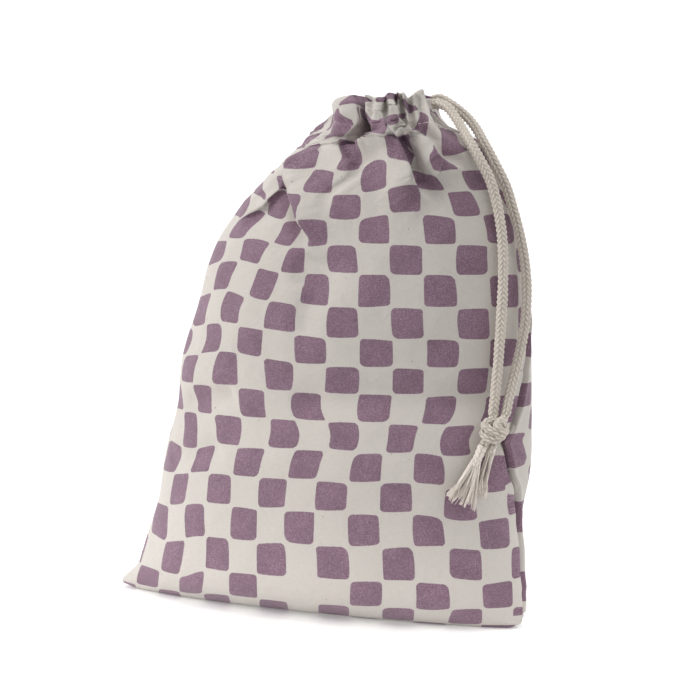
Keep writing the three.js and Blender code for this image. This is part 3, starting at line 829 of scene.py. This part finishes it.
outer_heights = np.concatenate([
    [0, 1.2, 2.6], np.arange(4.5, 200, 2.3), np.arange(200, 255, 1.5), np.arange(255, 312.4, 0.9), [313],
])
RIM_DEPTHS = np.array([0.0, 1.5, 3.5, 6.5, 10, 14, 18, 22, 27, 33])
inner_heights = np.concatenate([MOUTH_HEIGHT - RIM_DEPTHS, np.arange(270, 20, -8.0), [14, 8, 4]])

rings, _, ring_across = cloth_rings(outer_heights)
_, inner_rings, inner_across = cloth_rings(inner_heights)

# The print's place on the cloth, counted in columns and rows of checks
ON_FRONT = np.arange(RING_COLUMNS)[None, :] < FRONT_COLUMNS
PAST_FRONT = np.arange(RING_COLUMNS)[None, :] - FRONT_COLUMNS
# Share of the back panel from the left seam, then the print's column there.
BACK_COLUMN_AT = [
    (0, -1.18), (0.15, 0.75), (0.3, 2.82), (0.45, 4.98), (0.6, 7.13), (0.8, 9.85), (0.93, 11.55), (1, 12.5),
]
# Height, then the print's row there.
ROW_AT = [
    (0, -1.5), (9, -0.68), (20.5, 0.12), (39.5, 1.12), (58.5, 2.06), (77.5, 3.05), (94, 4.02), (111, 5),
    (127, 6), (143, 7), (159, 8), (175.5, 9), (194, 10), (212, 11), (228, 12), (246, 13), (257, 14),
    (271, 15), (286, 16), (299, 17), (313, 18),
]
# Height, then how far across the view the print's columns 2, 4, 6, 8, 10 and 12 lie.
COLUMNS_ACROSS = [
    (0, -80, -46, -10, 26, 64, 103), (38, -76, -45.5, -10.5, 27, 64, 102), (57, -77, -45, -12, 26, 62, 101),
    (76, -75, -44, -11, 25.5, 62, 99), (94, -73, -42, -8, 27, 62, 98), (111, -70, -38, -2.5, 31, 62, 94),
    (127, -72, -40, -8, 30, 68, 103), (145, -72, -41, -6, 32, 68.5, 104), (162, -66, -42, -5, 32, 70, 105),
    (178, -65, -39, -5, 31, 68, 105), (195, -59, -33, -3, 31, 68, 105), (213, -52, -26, -1, 31, 67, 103.5),
    (228, -48, -17, -3, 31, 67.5, 103), (245, -34, -14.5, -1, 31.2, 65.2, 96.5),
    (257, -36, -21, -0.8, 31.1, 62.8, 89.5), (272, -36, -23, 3, 33, 61, 82),
    (288, -21, -7, 8.8, 34.7, 57.5, 74), (301, -8, 3, 17, 38, 56.5, 69), (313, 0, 10, 22, 40, 56, 67),
]
# Height, then the columns' spacing left of column 2.
LEFT_SPACING = [(0, 16), (20, 15), (40, 13), (70, 11), (100, 9.5), (313, 9.5)]
RIGHT_SPACING = 16
# Where a fold hides some of the cloth: its line, and how many columns and rows of the print are hidden.
HIDDEN = [
    (FOLDS[0][0], 0.15, 0), (FOLDS[1][0], 0.5, 0.4), (FOLDS[2][0], 0.9, 0), (FOLDS[3][0], 0, 0.9),
    (FOLDS[4][0], 0.6, -0.2), (FOLDS[5][0], 0.9, 0), (FOLDS[6][0], 0.1, -0.7),
    ([(49, 284), (54, 271), (58, 262)], 0.8, 0),
]
HIDDEN_REACH = 5.0
# Where the print sits a little off these tables: across, up, how much is added to its column and its row.
NUDGES = [
    (9, 287, 0.1, -0.45), (-9, 270, -0.55, 0.1), (18, 268, -0.02, 0.26), (46, 277, 0.05, -0.4),
    (76, 276, 0.45, 0.6), (0, 256, -0.16, 0.09), (88, 256, 0.14, 0.09), (52, 300, -0.85, -0.8),
    (-24, 243, 0.06, 0.28), (-17, 226, -0.08, 0.2), (-2, 227, -0.16, 0.06), (-39, 218, 0.13, -0.1),
    (-49, 230, 0.12, 0.07), (-59, 203, 0.23, 0), (-54, 184, 0.25, -0.08), (-24, 179, 0.1, -0.08),
    (-64, 166, -0.12, 0), (-73, 126, 0.34, 0), (-9, 126, 0.14, 0.05), (-80, 101, -0.1, 0.25),
    (75, 110, 0.15, 0.09), (-91, 27, 0, 0.22), (13, 212, 0.08, 0), (0, 212, 0.2, 0), (0, 267, 0, -0.12),
    (-1, 248, 0, 0.15), (48, 248, 0, -0.12), (81, 243, -0.02, 0.15), (79, 71, 0.08, 0.2),
    (-81, 11, 0.1, 0.3), (66, 18, -0.08, 0.15), (66, 257, 0, 0.22), (15, 242, -0.12, 0.3),
    (31, 270, -0.05, -0.28), (31, 248, 0, 0.2), (21, 305, 1, -1.25), (12, 296, -0.6, 0.15),
    (7, 285, 0.1, -0.1), (35, 288, -0.2, 0), (42, 284, 0.25, 0.25), (64, 266, 0.6, 0.25), (16, 276, 0, 0.1),
]
NUDGE_REACH_ACROSS = 12
NUDGE_REACH_UP = 10


def print_moves(across, up):
    """How far folds and small local moves shift the print on the front, in columns and rows."""
    columns, rows = np.zeros((2, *across.shape))
    for points, hidden_columns, hidden_rows in HIDDEN:
        away, side, share, _, _ = near_line(across, up, points)
        ends = smoothstep(share / 0.15) * smoothstep((1 - share) / 0.3)
        jump = 0.5 * np.where(side > 0, 1, -1) * np.exp(-away / HIDDEN_REACH)
        jump = jump * (1 - np.exp(-away / 0.7)) * ends
        columns += hidden_columns * jump
        rows += hidden_rows * jump
    for at, height, more_columns, more_rows in NUDGES:
        near = bump(across, at, NUDGE_REACH_ACROSS) * bump(up, height, NUDGE_REACH_UP)
        columns += more_columns * near
        rows += more_rows * near
    return ON_FRONT * columns, ON_FRONT * rows


def print_columns(across, heights):
    """The print's column round each ring: by the view on the front, by share of the panel on the back."""
    back = 1 - np.append(seam_shares(FRONT_COLUMNS, BACK_COLUMNS)[1], 1)
    back_u = rows_at(BACK_COLUMN_AT, back)[:, 1]
    places = rows_at(COLUMNS_ACROSS, heights)[:, 1:]
    spacings = rows_at(LEFT_SPACING, heights)[:, 1]
    columns = np.arange(2, 12.01, 0.25)
    at = np.arange(FRONT_COLUMNS)
    by_seam = FRONT_COLUMNS // 9
    result = []
    for ring, place, spacing in zip(across, places, spacings):
        seen = ring[:FRONT_COLUMNS]
        turn = int(np.argmin(seen))
        line = rows_at(np.stack([np.arange(2, 13, 2), place], 1), columns)[:, 1]
        grown = np.interp(seen, line, columns)
        grown = np.where(seen < line[0], 2 + (seen - line[0]) / spacing, grown)
        grown = np.where(seen > line[-1], 12 + (seen - line[-1]) / RIGHT_SPACING, grown)
        # past the view's edge the columns go on evenly to the left seam
        to_seam = back_u[-1] + (grown[turn] - back_u[-1]) * at / max(turn, 1)
        grown = np.where(at < turn, to_seam, grown)
        grown[-by_seam:] = np.linspace(grown[-by_seam], back_u[0], by_seam)
        result.append(np.concatenate([grown, back_u[:-1]]))
    return np.array(result)


def print_rows(points, heights, column):
    """The print's row at each point: it dips to one side low down and leans at the shoulder."""
    up = np.asarray(heights)[:, None]
    row = rows_at(ROW_AT, heights)[:, 1][:, None]
    tilt = -0.045 * np.clip(1 - up / 150, 0, 1) * points[..., 0] / 20.5
    shoulder = -0.38 * bump(up, 163, 24) * bump(column, 3, 2.2)
    shoulder = shoulder - 0.45 * bump(up, 204, 26) * bump(column, 2, 1.8)
    by_knot = 0.3 * bump(up, 82, 18) * bump(column, 12, 1.5)
    edges = 0.3 * smoothstep((2.6 - column) / 2.4) * smoothstep((110 - up) / 40)
    edges = edges + 0.2 * smoothstep((column - 10.2) / 1.6) * bump(up, 50, 38)
    behind = np.clip(PAST_FRONT / 10, 0, 1)
    behind = behind * bump(up, 100, 60) * np.clip(2 - behind, 0, 1)
    return row + tilt + shoulder + by_knot + edges - 0.65 * behind


def print_places(points, across, heights):
    """The print's column and row at each point of the rings."""
    ups = np.asarray(heights)[:, None] * np.ones(across.shape)
    more_columns, more_rows = print_moves(across, ups)
    columns = print_columns(across, heights) + more_columns
    return columns, print_rows(points, heights, columns) + more_rows


def plain_places(across, heights):
    """Where the cloth shows its plain side: the turned end of the channel and the fold by the side seam."""
    up = np.asarray(heights)[:, None] * np.ones(across.shape)
    left = 51 + np.clip(311 - up, 0, 20) * 0.75
    turned = (across > left) & (across < 68) & (up > 300) & (PAST_FRONT < 0)
    edge = (PAST_FRONT >= 2) & (PAST_FRONT <= 6) & (up > 6) & (up < 288)
    return (turned | edge).astype(float)


# The cloth's mesh
UNDERSIDE_SCALES = (0.12, 0.35, 0.6, 0.82, 0.95)
RIM_RISE = 0.5
FLOOR_HEIGHT = 2.2


def ring_faces(loops):
    """Faces between rings, each given by its first point and its count. One ring may have a third as many."""
    faces = []
    for (a0, na), (b0, nb) in zip(loops[:-1], loops[1:]):
        for j in range(nb):
            k = (j + 1) % nb
            if na == nb:
                faces.append((a0 + j, a0 + k, b0 + k, b0 + j))
                continue
            a = a0 + INNER_STRIDE * j
            faces.append((a, a + 1, b0 + j))
            faces.append((a + 1, a + 2, b0 + j))
            faces.append((a + 2, a0 + (INNER_STRIDE * j + 3) % na, b0 + k, b0 + j))
    first, last = loops[0], loops[-1]
    faces.append(tuple(first[0] + j for j in range(first[1]))[::-1])
    faces.append(tuple(last[0] + j for j in range(last[1])))
    return faces


def build_cloth():
    """The cloth's mesh: underside, outer face, mouth edge and inner face, with the print's coordinates."""
    ring_u, ring_v = print_places(rings, ring_across, outer_heights)
    inner_u, inner_v = print_places(inner_rings, inner_across, inner_heights)
    ring_plain = plain_places(ring_across, outer_heights)
    points, us, vs, plains, loops = [], [], [], [], []

    def add_ring(ring, u, v, plain=0.0):
        loops.append((sum(len(p) for p in points), len(ring)))
        points.append(ring)
        us.append(u * np.ones(len(ring)))
        vs.append(v * np.ones(len(ring)))
        plains.append(plain * np.ones(len(ring)))

    for scale in UNDERSIDE_SCALES:
        flat = rings[0] * np.array([0.25 + 0.75 * scale, scale, 0])
        add_ring(flat, ring_u[0], ring_v[0] - (1 - scale) * 1.5)
    for ring, u, v, plain in zip(rings, ring_u, ring_v, ring_plain):
        add_ring(ring, u, v, plain)
    rim = mix(rings[-1], inner_rings[0], 0.5) + np.array([0, 0, RIM_RISE])
    add_ring(rim, ring_u[-1], ring_v[-1] + 0.05, ring_plain[-1])
    for number, (ring, u, v) in enumerate(zip(inner_rings, inner_u, inner_v)):
        stride = 1 if number < len(RIM_DEPTHS) else INNER_STRIDE
        add_ring(ring[::stride], u[::stride], v[::stride])
    floor = inner_rings[-1][::INNER_STRIDE] * np.array([0.6, 0.4, 0]) + np.array([0, 0, FLOOR_HEIGHT])
    add_ring(floor, inner_u[-1][::INNER_STRIDE], -1.5)

    obj = make_mesh("pouch_cloth_printed", np.vstack(points), ring_faces(loops))
    uv = obj.data.uv_layers.new(name="print")
    index = corner_points(obj)
    uv.data.foreach_set("uv", np.stack([np.concatenate(us)[index], np.concatenate(vs)[index]], 1).ravel())
    plain = obj.data.attributes.new("plain", "FLOAT", "POINT")
    plain.data.foreach_set("value", np.concatenate(plains))
    return obj


pouch = build_cloth()


# The channel's stitches
STITCH = {"length": 2.3, "gap": 1.1, "uneven": 0.15, "radius": 0.3}
STITCH_RISE = (-0.3, 0, 0.1, 0.1, 0, -0.3)
# Columns on the front and back of the fine ring that the stitches follow.
FINE_COLUMNS = (900, 700)
# Left of this place across, folds hide the stitches of the front.
STITCHES_FROM = 48
MOUTH_MIDDLE = (44, 0, 0)


def channel_stitches():
    """Short stitches of thread along the channel's lower edge, lying in their groove."""
    draw = np.random.default_rng(20)
    ring, _, _ = cloth_rings(np.array([STITCH_UP]), *FINE_COLUMNS)
    line, length = even_steps(np.vstack([ring[0], ring[0][:1]]), 0.5)
    at = np.linspace(0, length, len(line))
    rise = np.array(STITCH_RISE)[:, None]
    yarns = []
    start = 1.0
    while start + STITCH["length"] < length:
        middle = start + STITCH["length"] / 2
        across = np.interp(middle, at, line @ np.array([VIEW_COS, VIEW_SIN, 0]))
        on_front = np.interp(middle, at, line[:, 1]) < 5
        if on_front and across < STITCHES_FROM:
            start += STITCH["length"] + STITCH["gap"]
            continue
        s = np.linspace(start, start + STITCH["length"], len(rise))
        p = np.stack([np.interp(s, at, line[:, k]) for k in range(3)], 1)
        tangent = np.gradient(p, axis=0)
        tangent /= np.linalg.norm(tangent, axis=1, keepdims=True)
        normal = np.stack([-tangent[:, 1], tangent[:, 0], 0 * tangent[:, 0]], 1)
        if np.mean(np.einsum("ij,ij->i", normal, p - np.array(MOUTH_MIDDLE))) < 0:
            normal = -normal
        yarns.append(yarn(p + normal * rise, STITCH["radius"], 6))
        start += STITCH["length"] + STITCH["gap"] + STITCH["uneven"] * draw.uniform(-1, 1)
    return make_yarns("channel_stitches", yarns)


stitches = channel_stitches()


# Materials
class Output:
    """An output of a material's nodes, to write formulas with."""

    def __init__(self, nodes, socket):
        self.nodes = nodes
        self.socket = socket

    def __add__(self, other):
        return self.nodes.math("ADD", self, other)

    def __sub__(self, other):
        return self.nodes.math("SUBTRACT", self, other)

    def __rsub__(self, other):
        return self.nodes.math("SUBTRACT", other, self)

    def __mul__(self, other):
        return self.nodes.math("MULTIPLY", self, other)

    def __mod__(self, other):
        return self.nodes.math("MODULO", self, other)

    def __lt__(self, other):
        return self.nodes.math("LESS_THAN", self, other)

    def __gt__(self, other):
        return self.nodes.math("GREATER_THAN", self, other)

    def __abs__(self):
        return self.nodes.math("ABSOLUTE", self)

    def __round__(self):
        return self.nodes.math("ROUND", self)

    __radd__ = __add__


class Nodes:
    """A small helper that writes a material's nodes."""

    def __init__(self, name):
        self.material = bpy.data.materials.new(name)
        self.material.use_nodes = True
        self.tree = self.material.node_tree
        self.tree.nodes.clear()
        self.shader = self.new("BsdfPrincipled")
        self.tree.links.new(self.shader.outputs[0], self.new("OutputMaterial").inputs[0])

    def new(self, kind):
        return self.tree.nodes.new("ShaderNode" + kind)

    def put(self, socket, value):
        if isinstance(value, Output):
            self.tree.links.new(value.socket, socket)
        elif value is not None:
            socket.default_value = value

    def set(self, **values):
        """Sets the shader's inputs, named with low lines for spaces."""
        for name, value in values.items():
            self.put(self.shader.inputs[name.replace("_", " ")], value)

    def math(self, operation, a, b=None):
        node = self.new("Math")
        node.operation = operation
        self.put(node.inputs[0], a)
        self.put(node.inputs[1], b)
        return Output(self, node.outputs[0])

    def mix_colour(self, share, a, b, blend="MIX"):
        node = self.new("Mix")
        node.data_type = "RGBA"
        node.blend_type = blend
        self.put(node.inputs["Factor"], share)
        self.put(node.inputs[6], a)
        self.put(node.inputs[7], b)
        return Output(self, node.outputs[2])

    def shaded(self, colour, shade):
        """The colour made lighter or darker."""
        return self.mix_colour(1.0, colour, self.vector(shade, shade, shade), "MULTIPLY")

    def vector(self, x, y, z=0.0):
        node = self.new("CombineXYZ")
        for socket, value in zip(node.inputs, (x, y, z)):
            self.put(socket, value)
        return Output(self, node.outputs[0])

    def parts(self, kind, value):
        """The parts of a vector or a colour."""
        node = self.new("Separate" + kind)
        self.put(node.inputs[0], value)
        return [Output(self, socket) for socket in node.outputs]

    def noise(self, vector, scale, detail=2.0, roughness=0.5, distortion=0.0):
        node = self.new("TexNoise")
        self.put(node.inputs["Vector"], vector)
        self.put(node.inputs["Scale"], scale)
        self.put(node.inputs["Detail"], detail)
        self.put(node.inputs["Roughness"], roughness)
        self.put(node.inputs["Distortion"], distortion)
        return Output(self, node.outputs[0])

    def white(self, x, y, w):
        """Three random numbers from -0.5 to 0.5 that belong to this column and row."""
        node = self.new("TexWhiteNoise")
        node.noise_dimensions = "3D"
        self.put(node.inputs["Vector"], self.vector(x, y, w))
        return [part - 0.5 for part in self.parts("Color", Output(self, node.outputs["Color"]))]

    def step(self, value, low, high):
        node = self.new("MapRange")
        node.interpolation_type = "SMOOTHSTEP"
        self.put(node.inputs["Value"], value)
        self.put(node.inputs["From Min"], low)
        self.put(node.inputs["From Max"], high)
        return Output(self, node.outputs[0])

    def uv(self, name):
        node = self.new("UVMap")
        node.uv_map = name
        return self.parts("XYZ", Output(self, node.outputs[0]))[:2]

    def attribute(self, name):
        node = self.new("Attribute")
        node.attribute_name = name
        return Output(self, node.outputs["Fac"])

    def object_place(self):
        return Output(self, self.new("TexCoord").outputs["Object"])

    def bump(self, height, strength, distance, normal=None):
        node = self.new("Bump")
        self.put(node.inputs["Height"], height)
        self.put(node.inputs["Strength"], strength)
        self.put(node.inputs["Distance"], distance)
        self.put(node.inputs["Normal"], normal)
        return Output(self, node.outputs[0])


CREAM = (0.605, 0.565, 0.525, 1)
PURPLE = (0.19, 0.108, 0.152, 1)
PURPLE_LIGHT = (0.43, 0.315, 0.39, 1)
SEED_BROWN = (0.13, 0.08, 0.05, 1)
CORD_COLOUR = (0.72, 0.65, 0.575, 1)
YARN_COLOUR = (0.82, 0.75, 0.685, 1)
THREAD_COLOUR = (0.76, 0.71, 0.66, 1)
CELL_MM = 19.3
WEAVE_MM = 0.62
# Low on the front one check of the print is left out: its column and row.
PLAIN_CELL = (6, 0)


def check_mask(n, u, v, plane):
    """1 on the print's checks and 0 between them."""
    column = round(u)
    row = round(v)
    # each check is moved, leaned and tapered a little of its own, and its corners differ in roundness
    r1 = n.white(column, row, 1.7)
    r2 = n.white(column, row, 5.3)
    r3 = n.white(column, row, 9.1)
    a = u - column - r1[0] * 0.05
    b = v - row - r1[1] * 0.05
    leaned_a = a + b * (r1[2] * 0.08)
    leaned_b = b + a * (r2[0] * 0.08)
    half_a = 0.492 + (r2[1] * 0.035 + b * r2[2] * 0.1)
    half_b = 0.482 + (r3[0] * 0.035 + a * r3[1] * 0.1)
    corner = 0.125 + (a * r3[2] * 0.18 + b * r1[2] * 0.18)
    past_a = abs(leaned_a) + leaned_b * leaned_b * 0.08 - half_a + corner
    past_b = abs(leaned_b) + leaned_a * leaned_a * 0.08 - half_b + corner
    out_a = n.math("MAXIMUM", past_a, 0.0)
    out_b = n.math("MAXIMUM", past_b, 0.0)
    outside = n.math("SQRT", out_a * out_a + out_b * out_b)
    inside = n.math("MINIMUM", n.math("MAXIMUM", past_a, past_b), 0.0)
    ragged = (n.noise(plane, 0.9, 3.0) - 0.5) * 0.03
    distance = outside + inside - corner + ragged
    is_check = abs((column + row) % 2.0) < 0.5
    is_kept = abs(column - PLAIN_CELL[0]) + abs(row - PLAIN_CELL[1]) > 0.5
    is_printed_side = n.attribute("plain") < 0.5
    return (1.0 - n.step(distance, -0.012, 0.012)) * is_check * (is_kept * is_printed_side)


def seed_specks(n, plane):
    """1 on a few small specks of seed in the cotton."""
    cells = n.new("TexVoronoi")
    cells.feature = "F1"
    n.put(cells.inputs["Vector"], plane)
    n.put(cells.inputs["Scale"], 0.16)
    chance = n.parts("Color", Output(n, cells.outputs["Color"]))[0]
    return Output(n, cells.outputs["Distance"]) < n.step(chance, 0.55, 1.0) * 0.075


def printed_cotton():
    """Cream cotton with its print, seed specks, a plain weave and soft crumples."""
    n = Nodes("printed_cotton")
    u, v = n.uv("print")
    x_mm = u * CELL_MM
    y_mm = v * CELL_MM
    plane = n.vector(x_mm, y_mm)
    mask = check_mask(n, u, v, plane)

    # threads: slubs along the warp and the weft, and light fibres that show through the ink
    warp = n.noise(n.vector(x_mm * 2.6, y_mm * 0.22), 1.0, 3.0, 0.6)
    weft = n.noise(n.vector(x_mm * 0.22, y_mm * 2.6, 7.0), 1.0, 3.0, 0.6)
    threads = warp * 0.5 + weft * 0.5
    grain = n.noise(n.vector(x_mm, y_mm, 3.0), 2.1, 2.0, 0.7)
    patch = n.noise(n.vector(x_mm, y_mm, 11.0), 0.06, 2.0)
    cream = n.shaded(CREAM, 0.93 + ((threads - 0.5) * 0.35 + (grain - 0.5) * 0.12))
    fibre = n.step(grain * 0.7 + threads * 0.3, 0.44, 0.66)
    ink = n.mix_colour(fibre * 0.75, PURPLE, PURPLE_LIGHT)
    ink = n.shaded(ink, 0.9 + (patch - 0.4) * 0.45)
    colour = n.mix_colour(mask, cream, ink)
    colour = n.mix_colour(seed_specks(n, plane) * 0.55, colour, SEED_BROWN)

    thread_turn = FULL_TURN / WEAVE_MM
    weave = n.math("SINE", x_mm * thread_turn) * n.math("SINE", y_mm * thread_turn)
    fine = n.bump(weave * 0.25 + threads * 1.3, 0.45, 0.00022)
    crumple = n.noise(n.vector(x_mm, y_mm, 5.0), 0.11, 3.0, 0.55, 0.4)
    n.set(Base_Color=colour, Normal=n.bump(crumple, 0.35, 0.0022, fine), Roughness=0.86 + mask * -0.04)
    n.set(Specular_IOR_Level=0.25, Sheen_Weight=0.18, Sheen_Roughness=0.5)
    return n.material


def cord_cotton():
    """Braided cotton, with painted shade where its stitches sink in."""
    n = Nodes("braided_cotton")
    place = n.object_place()
    tone = n.noise(place, 320.0, 3.0, 0.6)
    fibre = n.noise(place, 2200.0, 2.0, 0.7)
    shade = 0.82 + (tone * 0.22 + fibre * 0.12)
    # painted shade: the colour is darkened where the braid's stitches sink in
    shade = shade * (1.0 - n.attribute("sunk_painted_shade") * 0.3)
    n.set(Base_Color=n.shaded(CORD_COLOUR, shade), Normal=n.bump(tone + fibre, 0.5, 0.0003))
    n.set(Roughness=0.9, Specular_IOR_Level=0.2, Sheen_Weight=0.2)
    return n.material


def thread_cotton(name, colour):
    """Plain cotton thread."""
    n = Nodes(name)
    tone = n.noise(n.object_place(), 900.0, 2.0, 0.6)
    n.set(Base_Color=n.shaded(colour, 0.84 + tone * 0.3), Normal=n.bump(tone, 0.3, 0.0002))
    n.set(Roughness=0.9, Specular_IOR_Level=0.2)
    return n.material


cloth_material = printed_cotton()
cord_material = cord_cotton()
yarn_material = thread_cotton("cotton_yarn", YARN_COLOUR)
stitch_material = thread_cotton("sewing_thread", THREAD_COLOUR)

# The pieces in the frame
for obj, node, slot, material in (
    (pouch, "pouch_cloth", "printed_cotton", cloth_material),
    (cord_inner, "cord_inner", "cotton_cord", cord_material),
    (cord_outer, "cord_outer", "cotton_cord", cord_material),
    (cord_knot, "cord_knot", "cotton_cord", cord_material),
    (frayed_long, "frayed_end_long", "cotton_yarn", yarn_material),
    (frayed_short, "frayed_end_short", "cotton_yarn", yarn_material),
):
    obj.data.materials.append(material)
    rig.ride(obj, "root")
    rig.replaces(obj, node)
    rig.slot(obj, slot)
stitches.data.materials.append(stitch_material)
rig.ride(stitches, "root")
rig.slot(stitches, "printed_cotton")

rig.sheet(pouch, flat=(0.54, 0.36), held="gathered", rests_on=[], with_pieces=[stitches])
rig.cord(
    cord_inner, exit=tuple(inner_path[0] * MM), length=inner_length * MM, diameter=0.006,
    far_end="knot", stiffness="limp", lay="hanging", path=(inner_path[::6] * MM).tolist(),
    with_pieces=[cord_knot, frayed_long],
)
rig.cord(
    cord_outer, exit=tuple(outer_path[0] * MM), length=outer_length * MM, diameter=0.006,
    far_end="knot", stiffness="limp", lay="hanging", path=(outer_path[::6] * MM).tolist(),
    with_pieces=[frayed_short],
)

# The floor
FLOOR_CORNERS = [(-900, 0, 212), (900, 0, 212), (900, 0, -1300), (-900, 0, -1300)]
WHITE = (1, 1, 1, 1)
floor_mesh = bpy.data.meshes.new("floor")
floor_mesh.from_pydata((in_view(FLOOR_CORNERS) * MM).tolist(), [], [(0, 1, 2, 3)])
floor = bpy.data.objects.new("floor", floor_mesh)
bpy.context.collection.objects.link(floor)
floor_nodes = Nodes("floor")
floor_nodes.set(Base_Color=(0.93, 0.93, 0.925, 1), Roughness=0.8)
floor_nodes.set(Emission_Color=WHITE, Emission_Strength=0.17)
floor_mesh.materials.append(floor_nodes.material)
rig.stage(floor)

# The key light
KEY_PLACE = in_view((-1350, 700, 420))[0] * MM
KEY_TARGET = in_view((10, 150, 0))[0] * MM
key_data = bpy.data.lights.new("key", "AREA")
key_data.shape = "DISK"
key_data.size = 0.7
key_data.energy = 11
key_data.color = (1, 0.99, 0.975)
key = bpy.data.objects.new("key", key_data)
key.location = KEY_PLACE
key.rotation_euler = Vector(KEY_TARGET - KEY_PLACE).to_track_quat("-Z", "Y").to_euler()
bpy.context.collection.objects.link(key)

# The sky's soft light: a direction in the view, the closeness where it begins and is full, its amount
SKY_BASE = 0.15
SKY_LIGHTS = [
    ((0, 0, -1), 0.6, 0.93, 1.0),
    ((0, 1, 0), 0.1, 1, 0.68),
    ((-1, 0, -0.35), 0.2, 1, 0.6),
    ((0.7, 0.8, 0.5), 0.1, 1, 0.8),
]
world = bpy.data.worlds.new("studio")
bpy.context.scene.world = world
world.use_nodes = True
sky = world.node_tree
sky_direction = sky.nodes.new("ShaderNodeTexCoord").outputs["Generated"]


def sky_light(vector, low, high, amount):
    """Light that grows from nothing to its amount as the sky turns towards a direction of the view."""
    unit = in_view(vector)[0]
    dot = sky.nodes.new("ShaderNodeVectorMath")
    dot.operation = "DOT_PRODUCT"
    sky.links.new(sky_direction, dot.inputs[0])
    dot.inputs[1].default_value = tuple(unit / np.linalg.norm(unit))
    ramp = sky.nodes.new("ShaderNodeMapRange")
    ramp.interpolation_type = "SMOOTHSTEP"
    sky.links.new(dot.outputs["Value"], ramp.inputs["Value"])
    ramp.inputs["From Min"].default_value = low
    ramp.inputs["From Max"].default_value = high
    ramp.inputs["To Max"].default_value = amount
    return ramp.outputs[0]


strength = None
for light in SKY_LIGHTS:
    add = sky.nodes.new("ShaderNodeMath")
    sky.links.new(sky_light(*light), add.inputs[0])
    if strength:
        sky.links.new(strength, add.inputs[1])
    else:
        add.inputs[1].default_value = SKY_BASE
    strength = add.outputs[0]
sky.links.new(strength, sky.nodes["Background"].inputs[1])
sky.nodes["Background"].inputs[0].default_value = WHITE
bpy.context.scene.view_settings.view_transform = "Standard"

visual_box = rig.bounds()
with open("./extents.json", "w") as out:
    json.dump({
        "cad": [[float(x) for x in corner] for corner in cad_box],
        "visual": [[float(x) for x in corner] for corner in visual_box],
    }, out)
